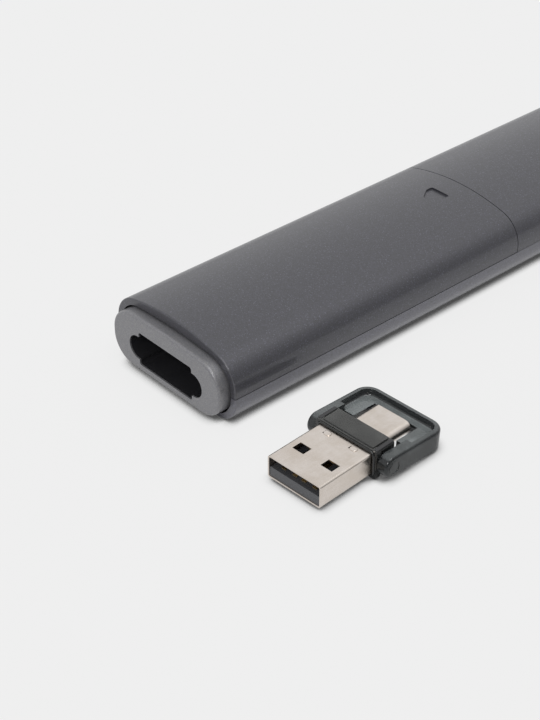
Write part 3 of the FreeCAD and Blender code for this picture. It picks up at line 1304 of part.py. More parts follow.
def make_swivel_frame():
    """Clear smoky loop round the USB-C plug: a rimmed plate with a bay, on two arms with round hubs.

    It is drawn about its pivot, lying flat, and then drooped to the table.
    """
    body = new_body("swivel_frame")
    half, thick = size.frame_width / 2, size.frame_thickness / 2
    corner = size.frame_corner
    start = -thick
    plan = sketch_on(body, "XY", -thick, "frame_plan")
    add_rounded_box(plan, -half, half, start - corner, size.frame_reach, corner)
    grow(body, plan, size.frame_thickness)
    squared = sketch_on(body, "XY", -thick - beyond, "frame_squared")
    add_box(squared, -half - beyond, half + beyond, start - corner - beyond, start)
    carve(body, squared, size.frame_thickness + beyond * 2)
    doc.recompute()
    faces = (-thick.value, thick.value)

    def hub_edge(bounds):
        return bounds.YLength < 0.01 and bounds.ZLength < 0.01 and abs(bounds.YMin - start.value) < 0.01

    def face_rim(bounds):
        flat = bounds.ZLength < 0.01 and any(abs(bounds.ZMin - face) < 0.01 for face in faces)
        return flat and bounds.YLength > 0.1

    round_edges(body, thick - size.table_gap, hub_edge, "frame_hubs")
    round_edges(body, size.frame_edge, face_rim, "frame_edges")
    inner = block_half + size.hub_gap
    gap = sketch_on(body, "XY", -thick - beyond, "frame_gap")
    add_box(gap, -inner, inner, start - beyond, size.frame_plate_start)
    carve(body, gap, size.frame_thickness + beyond * 2)
    wall, far = half - size.frame_rim, size.frame_reach - size.frame_rim
    for low, name in ((size.frame_plate / 2, "top"), (-thick - beyond, "bottom")):
        tray = sketch_on(body, "XY", low, f"frame_{name}_tray")
        add_arch(tray, wall, size.frame_plate_start, far, size.frame_corner - size.frame_rim)
        carve(body, tray, thick + beyond - size.frame_plate / 2)

    def plate_edge(bounds):
        level = any(abs(bounds.ZMin - side * size.frame_plate.value / 2) < 0.01 for side in (-1, 1))
        front = bounds.YMax < size.frame_plate_start.value + 0.01 and abs(bounds.XMin) < inner.value + 0.01
        return level and bounds.ZLength < 0.01 and not front

    round_edges(body, size.frame_hollow, plate_edge, "frame_hollows")
    bay = sketch_on(body, "XY", -thick - beyond, "frame_bay")
    add_box(bay, -size.bay_width / 2, size.bay_width / 2, 0, size.bay_reach)
    carve(body, bay, size.frame_thickness + beyond * 2)
    bores = sketch_on(body, "YZ", -inner - size.pivot_reach, "frame_bores")
    add_circle(bores, 0, 0, size.pivot_diameter + size.pivot_gap * 2)
    carve(body, bores, (inner + size.pivot_reach) * 2)

    droop = Rotation(Vector(1, 0, 0), -droop_angle())
    turn = Rotation(Vector(0, 0, 1), size.receiver_yaw.value)
    body.Placement = Placement(Vector(), turn.multiply(droop))
    yaw = math.radians(size.receiver_yaw.value)
    place(body, size.receiver_x - pivot_y * math.sin(yaw), -size.receiver_y + pivot_y * math.cos(yaw),
          middle_height)


def check_and_write():
    """Stop on any failed object or bad shape, then write one file for each sub-part."""
    doc.recompute()
    for thing in doc.Objects:
        if "Invalid" in thing.State or "Error" in thing.State:
            raise RuntimeError(f"{thing.Label} failed: {thing.State}")
        if thing.isDerivedFrom("PartDesign::Pocket"):
            if thing.Shape.Volume >= thing.BaseFeature.Shape.Volume - 1e-6:
                raise RuntimeError(f"{thing.Label} cuts nothing")
    os.makedirs("parts", exist_ok=True)
    for thing in sub_parts:
        shape = thing.Shape
        if shape.isNull() or not shape.isValid():
            raise RuntimeError(f"{thing.Label} has a bad shape")
        shape.exportStep(f"parts/{thing.Label}.step")
        print(f"{thing.Label:18s} solids {len(shape.Solids)}  volume {shape.Volume:9.2f}")
    print(f"{len(sub_parts)} sub-parts, frame droops {droop_angle():.3f} degrees")


make_key_shell()
make_back_shell()
make_battery_cover()
make_tail_cap()
make_receiver_sleeve()
make_battery_tray()
make_battery_cell()
make_battery_spring()
make_contacts()
make_screws()
make_main_board()
make_switches()
make_round_key("forward_key", forward_key_y, forward_diameter)
make_round_key("laser_key", laser_key_y, size.laser_diameter)
make_back_key()
make_power_slider()
make_power_switch()
make_board_pieces()
make_laser()
make_plug_shell()
make_tongue()
make_receiver_block()
make_pivot_plugs()
make_small_plug()
make_receiver_board()
make_swivel_frame()
check_and_write()
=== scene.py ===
"""Presentation clicker beside its two-ended receiver, on a pale table under soft studio light."""
import math

import bpy
import numpy as np
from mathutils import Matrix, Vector


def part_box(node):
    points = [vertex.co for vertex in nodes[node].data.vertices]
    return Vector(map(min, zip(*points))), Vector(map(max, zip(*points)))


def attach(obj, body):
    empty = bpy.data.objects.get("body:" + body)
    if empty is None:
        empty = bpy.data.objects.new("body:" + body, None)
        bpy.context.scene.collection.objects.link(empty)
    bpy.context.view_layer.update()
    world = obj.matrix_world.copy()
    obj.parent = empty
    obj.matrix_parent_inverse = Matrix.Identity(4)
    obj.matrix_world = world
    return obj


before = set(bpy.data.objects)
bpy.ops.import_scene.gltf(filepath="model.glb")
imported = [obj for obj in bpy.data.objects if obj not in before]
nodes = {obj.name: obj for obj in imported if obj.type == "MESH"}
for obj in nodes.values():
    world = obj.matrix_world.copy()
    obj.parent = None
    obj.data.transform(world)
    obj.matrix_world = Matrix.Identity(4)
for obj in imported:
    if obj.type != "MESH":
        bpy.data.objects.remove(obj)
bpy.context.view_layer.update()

MM = 0.001

# How the receiver lies, in millimetres and radians: its own origin, its yaw, its pivot, and how far its
# swivel frame droops.
RECEIVER_SPOT = np.array([36.11, -71.93, 0.0])
RECEIVER_YAW = math.radians(3.15)
PIVOT = (35.324, -57.652, 2.9)
FRAME_DROOP = math.radians(3.732)

# Where the receiver's small pieces sit, in millimetres across, along and up from its own origin.
LID_SPOT = (0.0, 14.72, 5.8)
BAND_SPOT = (6.35, 14.68, 5.8)
COLLAR_SPOT = (0.0, 12.3, 2.9)
UPPER_STOP_SPOT = (2.95, 11.0, 5.15)
LOWER_STOP_SPOT = (2.95, 11.0, 0.65)
RING_SPOT = (9.15, 14.3, 2.9)

# Where the signs sit on the keys, in millimetres from the part's origin.
FORWARD_SIGN_SPOT = (0.0, 36.75, 0.15)
BACK_SIGN_SPOT = (0.0, 21.5, 0.15)
LASER_SIGN_SPOT = (0.0, 52.5, 0.27)


# Shader maths


class Wire:
    """A shader socket, so that node maths is written as an expression."""

    def __init__(self, graph, socket):
        self.graph = graph
        self.socket = socket

    def maths(self, operation, *others):
        """Combine the value with others by a named operation."""
        return self.graph.node("ShaderNodeMath", {"operation": operation}, [self, *others])

    def __add__(self, other):
        return self.maths("ADD", other)

    def __sub__(self, other):
        return self.maths("SUBTRACT", other)

    def __mul__(self, other):
        return self.maths("MULTIPLY", other)

    def __rsub__(self, other):
        return self.maths("MULTIPLY", -1.0).maths("ADD", other)

    __radd__ = __add__

    def size(self):
        """The value without its sign."""
        return self.maths("ABSOLUTE")

    def step(self, low, high):
        """0 below low, 1 above high, smooth between them."""
        settings = {"interpolation_type": "SMOOTHSTEP"}
        inputs = {"Value": self, "From Min": low, "From Max": high}
        return self.graph.node("ShaderNodeMapRange", settings, inputs)

    def channel(self, number):
        """One component of a vector or a colour."""
        return self.graph.node("ShaderNodeSeparateXYZ", {}, [self], number)


class Graph:
    """A node tree, emptied first, to which nodes are added one by one."""

    def __init__(self, tree):
        self.tree = tree
        tree.nodes.clear()

    def add(self, kind, settings, inputs):
        """Add a node: its settings first, then its sockets' values or links, by name or in order."""
        node = self.tree.nodes.new(kind)
        for name, value in settings.items():
            setattr(node, name, value)
        pairs = inputs.items() if isinstance(inputs, dict) else enumerate(inputs)
        for key, value in pairs:
            if isinstance(value, Wire):
                self.tree.links.new(value.socket, node.inputs[key])
            else:
                node.inputs[key].default_value = value
        return node

    def node(self, kind, settings, inputs, output=0):
        """Add a node and return one of its outputs."""
        return Wire(self, self.add(kind, settings, inputs).outputs[output])

    def ramp(self, value, stops):
        """Grey levels along a value, straight between stops, each a position and a level."""
        node = self.add("ShaderNodeValToRGB", {}, [value])
        elements = node.color_ramp.elements
        while len(elements) < len(stops):
            elements.new(0.5)
        for element, (position, level) in zip(elements, stops):
            element.position = position
            element.color = grey(level)
        return Wire(self, node.outputs[0])

    def ray(self, kind):
        """1 for a ray of the named kind, and 0 for any other."""
        return self.node("ShaderNodeLightPath", {}, {}, kind)


class Finish(Graph):
    """One material, patterned on Object coordinates in metres."""

    def __init__(self, name):
        self.material = bpy.data.materials.new(name)
        self.material.use_nodes = True
        super().__init__(self.material.node_tree)
        self.place = self.node("ShaderNodeTexCoord", {}, {}, "Object")

    def noise(self, scale, detail=2.0, roughness=0.5, where=None):
        """Cloudy variation from 0 to 1, with its scale in waves per metre."""
        inputs = {"Vector": where or self.place, "Scale": scale, "Detail": detail, "Roughness": roughness}
        return self.node("ShaderNodeTexNoise", {}, inputs, "Fac")

    def grain(self, scale):
        """A random value for each small cell of the surface, with its scale in cells per metre."""
        inputs = {"Vector": self.place, "Scale": scale}
        return self.node("ShaderNodeTexVoronoi", {"feature": "F1"}, inputs, "Color").channel(0)

    def stretched(self, scale):
        """Object coordinates, scaled apart along each axis."""
        return self.node("ShaderNodeMapping", {}, {"Vector": self.place, "Scale": scale})

    def flatness(self):
        """How level the surface lies: 1 where it faces straight up or down, 0 on an upright wall."""
        return self.node("ShaderNodeTexCoord", {}, {}, "Normal").channel(2).size()

    def axis(self, number):
        """One Object coordinate, in metres."""
        return self.place.channel(number)

    def mix(self, share, first, second):
        """Blend two colours."""
        return self.node("ShaderNodeMix", {"data_type": "RGBA"}, {0: share, 6: first, 7: second}, 2)

    def bump(self, height, distance, strength):
        """A normal from a height of 0 to 1 that stands for a distance in metres."""
        inputs = {"Strength": strength, "Distance": distance, "Height": height}
        return self.node("ShaderNodeBump", {}, inputs)

    def close(self, shader, volume=None):
        """Give the material its surface, and the volume behind it where there is one."""
        ends = {"Surface": shader}
        if volume is not None:
            ends["Volume"] = volume
        self.add("ShaderNodeOutputMaterial", {}, ends)
        return self.material

    def surface(self, colour, roughness, volume=None, **settings):
        """Close the material with a principled surface. Coat_Weight sets its socket Coat Weight."""
        inputs = {"Base Color": colour, "Roughness": roughness}
        inputs.update({name.replace("_", " "): value for name, value in settings.items()})
        return self.close(self.node("ShaderNodeBsdfPrincipled", {}, inputs), volume)


def grey(level):
    return (level, level, level, 1.0)


def rgb(red, green, blue):
    return (red, green, blue, 1.0)


def shaded(colour, share):
    """A colour made lighter or darker by a share, no lighter than white."""
    return rgb(*(min(1.0, part * share) for part in colour[:3]))


# Finishes


def graphite_paint(name, level, blue=1.34):
    """Satin metal-flake paint under a thin clear coat; level is its lightness, blue its tint."""
    finish = Finish(name)
    flake = finish.grain(7500)
    clouds = finish.noise(700, 3.0)
    dark = rgb(level * 0.84, level * 0.85, level * 0.93)
    light = rgb(level * 1.12, level * 1.10, level * blue)
    tint = finish.mix(flake.step(0.05, 0.95), dark, light)
    # The brightest flakes are painted lighter and bluer: a painted glint.
    glint = finish.mix(flake.step(0.93, 1.0) * 0.22, tint, rgb(0.26, 0.27, 0.34))
    rough = 0.42 + clouds * 0.06 - flake.step(0.9, 1.0) * 0.08
    texture = finish.bump(flake * 0.5 + clouds * 0.5, distance=0.000008, strength=0.22)
    return finish.surface(glint, rough, Metallic=0.5, Normal=texture, Coat_Weight=0.5, Coat_Roughness=0.12)


def black_gloss():
    """Polished black lining with faint moulding flow."""
    finish = Finish("black_gloss")
    flow = finish.noise(260, 4.0, where=finish.stretched((1.0, 0.25, 1.0)))
    colour = finish.mix(flow, rgb(0.013, 0.013, 0.015), rgb(0.022, 0.022, 0.024))
    texture = finish.bump(flow, distance=0.000006, strength=0.1)
    return finish.surface(colour, 0.10 + flow * 0.06, Normal=texture)


def moulded(name, dark, light, roughness, scale=2600, depth=0.00002):
    """Moulded plastic with a fine spark-eroded texture."""
    finish = Finish(name)
    fine = finish.noise(scale, 3.0, 0.6)
    broad = finish.noise(120)
    colour = finish.mix(fine * 0.6 + broad * 0.4, dark, light)
    texture = finish.bump(fine, distance=depth, strength=0.5)
    return finish.surface(colour, roughness - 0.08 + fine * 0.16, Normal=texture)


def plated(name, dark, light, roughness, stroke=(1.0, 0.08, 1.0)):
    """Plated metal with fine rolling lines and faint stains; stroke draws the lines out along an axis."""
    finish = Finish(name)
    lines = finish.noise(5200, where=finish.stretched(stroke))
    stains = finish.noise(230, 4.0, 0.6)
    colour = finish.mix((stains * 0.8 + lines * 0.2).step(0.30, 0.70), dark, light)
    rough = roughness - 0.05 + lines * 0.05 + stains * 0.06
    texture = finish.bump(lines, distance=0.000004, strength=0.08)
    return finish.surface(colour, rough, Metallic=1.0, Normal=texture)


def height_over_frame(finish):
    """Height over the swivel frame's drooping middle plane, in metres.

    It is the height over the pivot, plus the way past the pivot times the tangent of the droop.
    """
    cos, sin = math.cos(RECEIVER_YAW), math.sin(RECEIVER_YAW)
    along = finish.axis(1) * cos - finish.axis(0) * sin
    start = (PIVOT[1] * cos - PIVOT[0] * sin) * MM
    return finish.axis(2) - PIVOT[2] * MM + (along - start) * math.tan(FRAME_DROOP)


def smoke_plastic(name, dark, light, cover, density, rim=None):
    """Polished smoky plastic, darker with depth.

    dark and cover's first share belong to its walls, light and cover's second share to its level faces: a
    share is how much they hide. The walls are painted dark as painted shade and the level faces light as
    painted light, for the way the plastic darkens at its sides and shows paler where it lies flat. A level
    face higher than rim over the swivel frame's middle plane, in millimetres, counts as 0.4 level, so the
    narrow raised edge is painted darker: painted shade.
    """
    finish = Finish(name)
    ripple = finish.noise(160)
    level = finish.flatness().step(0.80, 0.985)
    if rim is not None:
        # Painted shade: the raised rim counts as less level, so it takes more of the dark wall colour.
        raised = height_over_frame(finish).step((rim - 0.3) * MM, rim * MM)
        level = level * (1.0 - raised * 0.6)
    walls, tops = cover
    # Painted light: the level faces take this lighter colour, and the walls the dark one as painted shade.
    painted_light_on_faces = finish.mix(ripple.step(0.35, 0.65), shaded(light, 0.8), shaded(light, 1.2))
    inputs = {"Color": rgb(0.28, 0.34, 0.35), "Density": density}
    volume = finish.node("ShaderNodeVolumeAbsorption", {}, inputs)
    texture = finish.bump(ripple, distance=0.00001, strength=0.10)
    return finish.surface(finish.mix(level, dark, painted_light_on_faces), 0.07 + ripple * 0.05, volume, IOR=1.49,
                          Alpha=walls - level * (walls - tops), Normal=texture)


def board_laminate():
    """Green solder mask with copper runs showing through."""
    finish = Finish("board_laminate")
    inputs = {"Vector": finish.place, "Scale": 420.0, "Mortar Size": 0.06, "Color1": grey(0.0),
              "Color2": grey(0.0), "Mortar": grey(1.0)}
    runs = finish.node("ShaderNodeTexBrick", {"offset": 0.5}, inputs, "Fac")
    weave = finish.noise(3000)
    mask = finish.mix(weave, rgb(0.010, 0.075, 0.035), rgb(0.016, 0.105, 0.050))
    colour = finish.mix(runs * 0.7, mask, rgb(0.03, 0.16, 0.075))
    texture = finish.bump(runs, distance=0.00003, strength=0.4)
    return finish.surface(colour, 0.35 + weave * 0.08, Normal=texture, Coat_Weight=0.4)


def cell_jacket():
    """Printed foil sleeve with a plain band near its front, and bare steel at both ends."""
    finish = Finish("cell_jacket")
    along = finish.axis(1)
    low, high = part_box("battery_cell")
    band = along.step(high.y - 11.5 * MM, high.y - 11.2 * MM)
    front_steel = along.step(high.y - 2.2 * MM, high.y - 2.1 * MM)
    rear_steel = 1.0 - along.step(low.y + 0.8 * MM, low.y + 0.9 * MM)
    bare = front_steel + rear_steel
    foil = finish.noise(1500, where=finish.stretched((1.0, 0.1, 1.0)))
    ink = finish.mix(band, rgb(0.012, 0.014, 0.020), rgb(0.42, 0.20, 0.06))
    colour = finish.mix(bare, ink, rgb(0.62, 0.61, 0.60))
    texture = finish.bump(foil, distance=0.00001, strength=0.3)
    return finish.surface(colour, 0.30 + foil * 0.08, Metallic=0.3 + bare * 0.7, Normal=texture)


def clear_pane(name, colour, roughness, weight=0.9):
    """Clear plastic or glass with a faint skin; weight is the share of light that it lets through."""
    finish = Finish(name)
    skin = finish.noise(700)
    shade = finish.mix(skin, colour, shaded(colour, 1.1))
    return finish.surface(shade, roughness + skin * 0.04, IOR=1.5, Transmission_Weight=weight)


gloss = black_gloss()
# Each smoke's first colour, near-black, is painted shade on its walls; its second, lighter one is painted
# light on its level faces.
smoke = smoke_plastic("smoke_plastic", rgb(0.013, 0.015, 0.016), rgb(0.215, 0.235, 0.238),
                      cover=(0.88, 0.56), density=420.0, rim=1.9)
block_smoke = smoke_plastic("block_smoke", rgb(0.014, 0.015, 0.015), rgb(0.050, 0.051, 0.049),
                            cover=(0.92, 0.84), density=900.0)
nickel = plated("plug_steel", rgb(0.610, 0.545, 0.485), rgb(0.715, 0.660, 0.615), 0.25)
tin = plated("contact_steel", rgb(0.52, 0.51, 0.49), rgb(0.68, 0.67, 0.65), 0.30)
zinc = plated("screw_steel", rgb(0.36, 0.36, 0.37), rgb(0.52, 0.52, 0.53), 0.34, stroke=(1.0, 1.0, 1.0))
gold = plated("contact_gold", rgb(0.58, 0.42, 0.18), rgb(0.72, 0.54, 0.25), 0.28)
brass = plated("laser_brass", rgb(0.58, 0.42, 0.17), rgb(0.74, 0.56, 0.26), 0.28, stroke=(0.1, 1.0, 0.1))
can = plated("crystal_can", rgb(0.60, 0.60, 0.60), rgb(0.72, 0.72, 0.72), 0.25)
tray_plastic = moulded("tray_plastic", rgb(0.018, 0.018, 0.020), rgb(0.034, 0.034, 0.037), 0.55)
case_black = moulded("case_black", rgb(0.012, 0.012, 0.014), rgb(0.026, 0.026, 0.028), 0.42)
key_plastic = moulded("key_plastic", rgb(0.030, 0.030, 0.034), rgb(0.055, 0.055, 0.061), 0.52,
                      scale=3400, depth=0.00004)
tongue_plastic = moulded("tongue_plastic", rgb(0.040, 0.041, 0.046), rgb(0.060, 0.062, 0.068), 0.34)
sign = moulded("sign_plastic", rgb(0.30, 0.30, 0.31), rgb(0.38, 0.38, 0.39), 0.45)

# Each finish with the solids that wear it.
WORN = [
    (graphite_paint("graphite_paint", 0.062), ["back_shell", "battery_cover"]),
    # The tail cap and the key shell wear the cover's graphite paint made lighter, as painted light: the
    # cap's face for the light it catches from the front, the key shell's lower sides for the white table
    # they reflect.
    (graphite_paint("cap_paint_painted_lighter", 0.176, blue=1.12), ["tail_cap"]),
    (graphite_paint("shell_paint_painted_lighter", 0.115), ["key_shell"]),
    (gloss, ["receiver_sleeve", "pivot_plugs"]),
    (smoke, ["swivel_frame"]),
    (block_smoke, ["receiver_block"]),
    (nickel, ["usb_a_shell", "usb_c_shell"]),
    (gold, ["usb_a_contacts"]),
    (tin, ["battery_spring", "tail_contact", "front_contact"]),
    (zinc, ["tray_screws", "board_screws"]),
    (brass, ["laser_module"]),
    (can, ["crystal"]),
    (tray_plastic, ["battery_tray"]),
    (case_black, ["tactile_switches", "power_switch", "radio_chip", "receiver_chip", "usb_c_tongue"]),
    (key_plastic, ["forward_key", "back_key", "laser_key", "power_slider"]),
    (tongue_plastic, ["usb_a_tongue"]),
    (cell_jacket(), ["battery_cell"]),
    (board_laminate(), ["main_board", "receiver_board"]),
    (clear_pane("lamp_clear", rgb(0.80, 0.86, 0.82), 0.25, weight=0.6), ["status_lamp", "light_pipe"]),
    (clear_pane("lens_glass", rgb(0.86, 0.90, 0.95), 0.02), ["laser_lens"]),
    (clear_pane("window_smoke", rgb(0.10, 0.03, 0.035), 0.05), ["laser_window"]),
]


def dress_nodes():
    """Give every solid of the part its finish."""
    for material, names in WORN:
        for name in names:
            mesh = nodes[name].data
            mesh.materials.clear()
            mesh.materials.append(material)


# Shapes for the small pieces, in millimetres


def rounded_outline(half_x, half_y, corner, count=10):
    """A rounded rectangle, counter-clockwise: a quarter circle about each corner's centre."""
    angles = np.linspace(0.0, math.pi / 2, count)
    quarter = np.stack([np.cos(angles), np.sin(angles)], axis=-1)
    turns = np.array([[[1, 0], [0, 1]], [[0, -1], [1, 0]], [[-1, 0], [0, -1]], [[0, 1], [-1, 0]]])
    centres = np.array([[1, 1], [-1, 1], [-1, -1], [1, -1]]) * [half_x - corner, half_y - corner]
    arcs = np.einsum("kij,nj->kni", turns, quarter) * corner
    return (arcs + centres[:, None]).reshape(-1, 2)


def circle(radius, count=48):
    """A circle, counter-clockwise."""
    angles = np.linspace(0.0, 2 * math.pi, count, endpoint=False)
    return np.stack([np.cos(angles), np.sin(angles)], axis=-1) * radius


def chevron(half_width, depth, softness=0.35, count=25):
    """An arrow's two strokes: a hyperbola whose arms fall away on both sides of a rounded tip."""
    across = np.linspace(-1.0, 1.0, count)
    fall = (np.sqrt(across ** 2 + softness ** 2) - softness) / (math.sqrt(1 + softness ** 2) - softness)
    return np.stack([across * half_width, depth / 2 - fall * depth], axis=-1)


def lifted(flat, rise):
    """Add heights to a grid of flat points."""
    heights = np.broadcast_to(rise, flat.shape[:2])
    return np.concatenate([flat, heights[..., None]], axis=-1)


def raised_pad(half_x, half_y, corner, height, edge, sink=0.1, crown=0.0):
    """A plate in rings: its outline goes straight up, in round a quarter circle, then in to a small top.

    Beyond the rounded edge the height gains crown times one minus the square of the ring's share of the
    plate.
    """
    angles = np.linspace(0.0, math.pi / 2, 6)
    shares = np.linspace(1.0, 0.05, 8)[1:]
    narrow = min(half_x, half_y)
    inset = np.concatenate([[0.0], edge * (1 - np.cos(angles)), edge + (narrow - edge) * (1 - shares)])
    rounding = height - edge + edge * np.sin(angles)
    rise = np.concatenate([[-sink], rounding, height + crown * (1 - shares ** 2)])
    corners = np.minimum(np.maximum(corner - inset, 0.01), narrow - inset)
    rings = [rounded_outline(half_x - back, half_y - back, bend) for back, bend in zip(inset, corners)]
    return lifted(np.stack(rings), rise[:, None])


def raised_ridge(path, width, height, sink=0.1, closed=False):
    """A half-round bead along a flat path: each ring is a half ellipse across the path, and its foot."""
    if closed:
        along = np.roll(path, -1, axis=0) - np.roll(path, 1, axis=0)
    else:
        along = np.gradient(path, axis=0)
    along = along / np.linalg.norm(along, axis=1, keepdims=True)
    side = np.stack([-along[:, 1], along[:, 0]], axis=-1)
    angles = np.linspace(0.0, math.pi, 9)
    across = np.concatenate([np.cos(angles), [-1.0, 1.0]]) * width / 2
    rise = np.concatenate([np.sin(angles) * height, [-sink, -sink]])
    return lifted(path[:, None] + side[:, None] * across[None, :, None], rise)


# A shape is drawn with its foot on the XY plane and Z outwards, then turned to face one of these ways.
FACING = {
    "up": np.array([[1, 0, 0], [0, 1, 0], [0, 0, 1]]),
    "down": np.array([[1, 0, 0], [0, -1, 0], [0, 0, -1]]),
    "tail": np.array([[1, 0, 0], [0, 0, -1], [0, 1, 0]]),
    "right": np.array([[0, 0, 1], [1, 0, 0], [0, 1, 0]]),
    "left": np.array([[0, 0, -1], [1, 0, 0], [0, -1, 0]]),
}


def turn_about_z(angle):
    """The matrix of a turn about Z."""
    cos, sin = math.cos(angle), math.sin(angle)
    return np.array([[cos, -sin, 0], [sin, cos, 0], [0, 0, 1]])


def put(shape, spot, facing="up", turn=0.0):
    """Turn a shape about its own Z, face it one way and set it down at a spot."""
    return shape @ turn_about_z(turn).T @ FACING[facing].T + np.array(spot)


def on_receiver(shape, spot, facing="up"):
    """Set a shape down along the receiver's own axes, then turn by its yaw and shift to where it lies."""
    return put(shape, spot, facing) @ turn_about_z(RECEIVER_YAW).T + RECEIVER_SPOT


def rings_to_faces(rows, columns, first, closed):
    """Quads between neighbouring rings, and a face at each end or a last ring joined to the first."""
    index = np.arange(rows * columns).reshape(rows, columns) + first
    after = np.roll(index, -1, axis=1)
    if closed:
        next_index, next_after = np.roll(index, -1, axis=0), np.roll(after, -1, axis=0)
        return np.stack([index, after, next_after, next_index], axis=-1).reshape(-1, 4).tolist()
    quads = np.stack([index[:-1], after[:-1], after[1:], index[1:]], axis=-1).reshape(-1, 4).tolist()
    return quads + [index[0, ::-1].tolist(), index[-1].tolist()]


def add_piece(name, shapes, material, body, closed=False):
    """Join solid shapes, each a grid of rings in millimetres, into one piece that rides on a body."""
    corners, faces = [], []
    for shape in shapes:
        rows, columns = shape.shape[:2]
        faces += rings_to_faces(rows, columns, sum(len(part) for part in corners), closed)
        corners.append(shape.reshape(-1, 3) * MM)
    mesh = bpy.data.meshes.new(name)
    mesh.from_pydata(np.concatenate(corners).tolist(), [], faces)
    mesh.polygons.foreach_set("use_smooth", np.ones(len(mesh.polygons), dtype=bool))
    mesh.set_sharp_from_angle(angle=math.radians(50))
    mesh.materials.append(material)
    piece = bpy.data.objects.new(name, mesh)
    bpy.context.scene.collection.objects.link(piece)
    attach(piece, body)


# The small pieces


def both_sides(spot):
    """A spot's mirror image across the receiver's middle, and the spot."""
    across, along, up = spot
    return [(-across, along, up), spot]


def finish_receiver():
    """The block's lid, end bands and collar, the plug's pressed stops, and the frame's pivot rings."""
    lid = raised_pad(5.7, 2.05, corner=0.40, height=0.17, edge=0.15, crown=0.03)
    add_piece("block_lid", [on_receiver(lid, LID_SPOT)], block_smoke, "receiver")
    band = raised_pad(0.36, 2.1, corner=0.18, height=0.07, edge=0.06)
    bands = [on_receiver(band, spot) for spot in both_sides(BAND_SPOT)]
    add_piece("block_end_bands", bands, gloss, "receiver")
    collar = raised_ridge(rounded_outline(6.3, 2.5, 0.9), width=0.5, height=0.28, closed=True)
    add_piece("plug_collar", [on_receiver(collar, COLLAR_SPOT, "tail")], block_smoke, "receiver",
              closed=True)
    stop = raised_pad(0.74, 0.52, corner=0.50, height=0.13, edge=0.10)
    stops = [on_receiver(stop, spot) for spot in both_sides(UPPER_STOP_SPOT)]
    stops += [on_receiver(stop, spot, "down") for spot in both_sides(LOWER_STOP_SPOT)]
    add_piece("plug_stops", stops, nickel, "receiver")
    ring = raised_ridge(circle(1.2), width=0.24, height=0.10, sink=0.05, closed=True)
    left_spot, right_spot = both_sides(RING_SPOT)
    rings = [on_receiver(ring, right_spot, "right"), on_receiver(ring, left_spot, "left")]
    add_piece("pivot_rings", rings, smoke, "guard", closed=True)


def sign_keys():
    """Plain arrows on the two page keys and a ring with a dot on the laser key, all slightly raised."""
    arrow = raised_ridge(chevron(1.9, 1.9), width=0.55, height=0.09, sink=0.12)
    forward_arrow = put(arrow, FORWARD_SIGN_SPOT, "down", turn=math.pi)
    add_piece("forward_sign", [forward_arrow], sign, "forward_button")
    back_arrow = put(arrow, BACK_SIGN_SPOT, "down")
    add_piece("back_sign", [back_arrow], sign, "back_button")
    ring = raised_ridge(circle(1.5), width=0.42, height=0.09, sink=0.12, closed=True)
    add_piece("laser_sign_ring", [put(ring, LASER_SIGN_SPOT, "down")], sign, "laser_button",
              closed=True)
    dot = raised_pad(0.42, 0.42, corner=0.41, height=0.10, edge=0.09)
    add_piece("laser_sign_dot", [put(dot, LASER_SIGN_SPOT, "down")], sign, "laser_button")


# The table, the light and the camera


def lay_table():
    """A wide pale table that shows as plain white paper, with a contact shadow painted into its glow.

    The camera, reflections and rays through plastic see mostly a glow, whose level follows the stops from
    0 where something covers the table to 1 where it lies open: ambient occlusion darkens it near anything
    on the table, a painted shadow. Any other ray meets matt paper, which takes the lamps' real shadows.
    """
    reach = 4.0
    shadow_reach = 0.0019
    glow_share = 0.93
    # The glow's levels by openness: low where the table is covered, a painted contact shadow.
    stops = [(0.0, 0.34), (0.12, 0.06), (0.38, 0.08), (0.52, 0.40), (0.68, 0.67), (0.84, 0.795),
             (0.97, 0.846)]
    mesh = bpy.data.meshes.new("table")
    corners = [(-reach, -reach, 0), (reach, -reach, 0), (reach, reach, 0), (-reach, reach, 0)]
    mesh.from_pydata(corners, [], [(0, 1, 2, 3)])
    table = bpy.data.objects.new("table", mesh)
    bpy.context.scene.collection.objects.link(table)
    finish = Finish("table_paper")
    fibre = finish.mix(finish.noise(300), grey(0.858), grey(0.868))
    paper = finish.node("ShaderNodeBsdfDiffuse", {}, {"Color": fibre})
    openness = finish.node("ShaderNodeAmbientOcclusion", {"samples": 8}, {"Distance": shadow_reach}, "AO")
    glow = finish.node("ShaderNodeEmission", {}, {"Color": finish.ramp(openness, stops), "Strength": 1.0})
    seen = finish.ray("Is Camera Ray") + finish.ray("Is Glossy Ray") + finish.ray("Is Transmission Ray")
    share = seen.maths("MINIMUM", 1.0) * glow_share
    mesh.materials.append(finish.close(finish.node("ShaderNodeMixShader", {}, [share, paper, glow])))


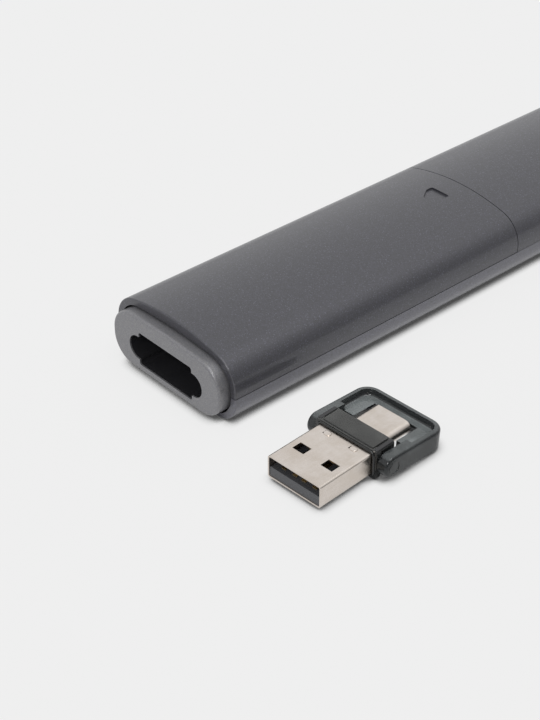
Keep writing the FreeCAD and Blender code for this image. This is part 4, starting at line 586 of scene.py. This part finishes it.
def light_world():
    """A pale room, bright overhead and to the far left, dim to the right.

    The stops run from the direction against the bright side, at 0, to the bright side itself, at 1. The
    camera and rays through plastic see a plain backdrop in its place, and reflections see a share of it.
    """
    bright_side = Vector((-0.75, 0.20, 0.65)).normalized()
    backdrop = 0.863
    glossy_share = 0.25
    stops = [(0.0, 0.12), (0.34, 0.13), (0.50, 0.54), (0.61, 0.95), (0.80, 0.99), (1.0, 0.86)]
    world = bpy.data.worlds.new("studio")
    bpy.context.scene.world = world
    world.use_nodes = True
    graph = Graph(world.node_tree)
    direction = graph.node("ShaderNodeTexCoord", {}, {}, "Generated")
    product = {"operation": "DOT_PRODUCT"}
    lean = graph.node("ShaderNodeVectorMath", product, [direction, bright_side], "Value")
    spot = graph.node("ShaderNodeMapRange", {}, {"Value": lean, "From Min": -1.0})
    room = graph.node("ShaderNodeBackground", {}, {"Color": graph.ramp(spot, stops), "Strength": 1.0})
    plain = graph.node("ShaderNodeBackground", {}, {"Color": grey(backdrop), "Strength": 1.0})
    seen = graph.ray("Is Glossy Ray") * glossy_share + graph.ray("Is Camera Ray")
    share = seen.maths("MAXIMUM", graph.ray("Is Transmission Ray"))
    mixed = graph.node("ShaderNodeMixShader", {}, [share, room, plain])
    graph.add("ShaderNodeOutputWorld", {}, {"Surface": mixed})


def add_sun(name, toward, strength, spread):
    """A soft far lamp that shines along a direction; spread is its width in degrees."""
    data = bpy.data.lights.new(name, "SUN")
    data.energy = strength
    data.angle = math.radians(spread)
    sun = bpy.data.objects.new(name, data)
    sun.rotation_euler = Vector(toward).to_track_quat("-Z", "Y").to_euler()
    bpy.context.scene.collection.objects.link(sun)


def set_camera():
    """The photograph's view: 35 degrees down, about 280 mm from the receiver, from the tail's right."""
    dip = 0.6153
    heading = 0.841
    data = bpy.data.cameras.new("camera")
    data.sensor_fit = "VERTICAL"
    data.sensor_height = 36.0
    data.lens = 83.07
    data.clip_start = 0.01
    camera = bpy.data.objects.new("camera", data)
    camera.location = (0.18924, -0.21411, 0.17478)
    camera.rotation_euler = (math.pi / 2 - dip, 0.0, heading)
    bpy.context.scene.collection.objects.link(camera)
    bpy.context.scene.camera = camera


dress_nodes()
finish_receiver()
sign_keys()
lay_table()
light_world()
add_sun("key_light", (-0.28, -0.10, -1.0), strength=0.80, spread=36)
add_sun("edge_light", (-0.38, 0.64, -0.65), strength=1.0, spread=18)
set_camera()
bpy.context.scene.view_settings.view_transform = "Standard"
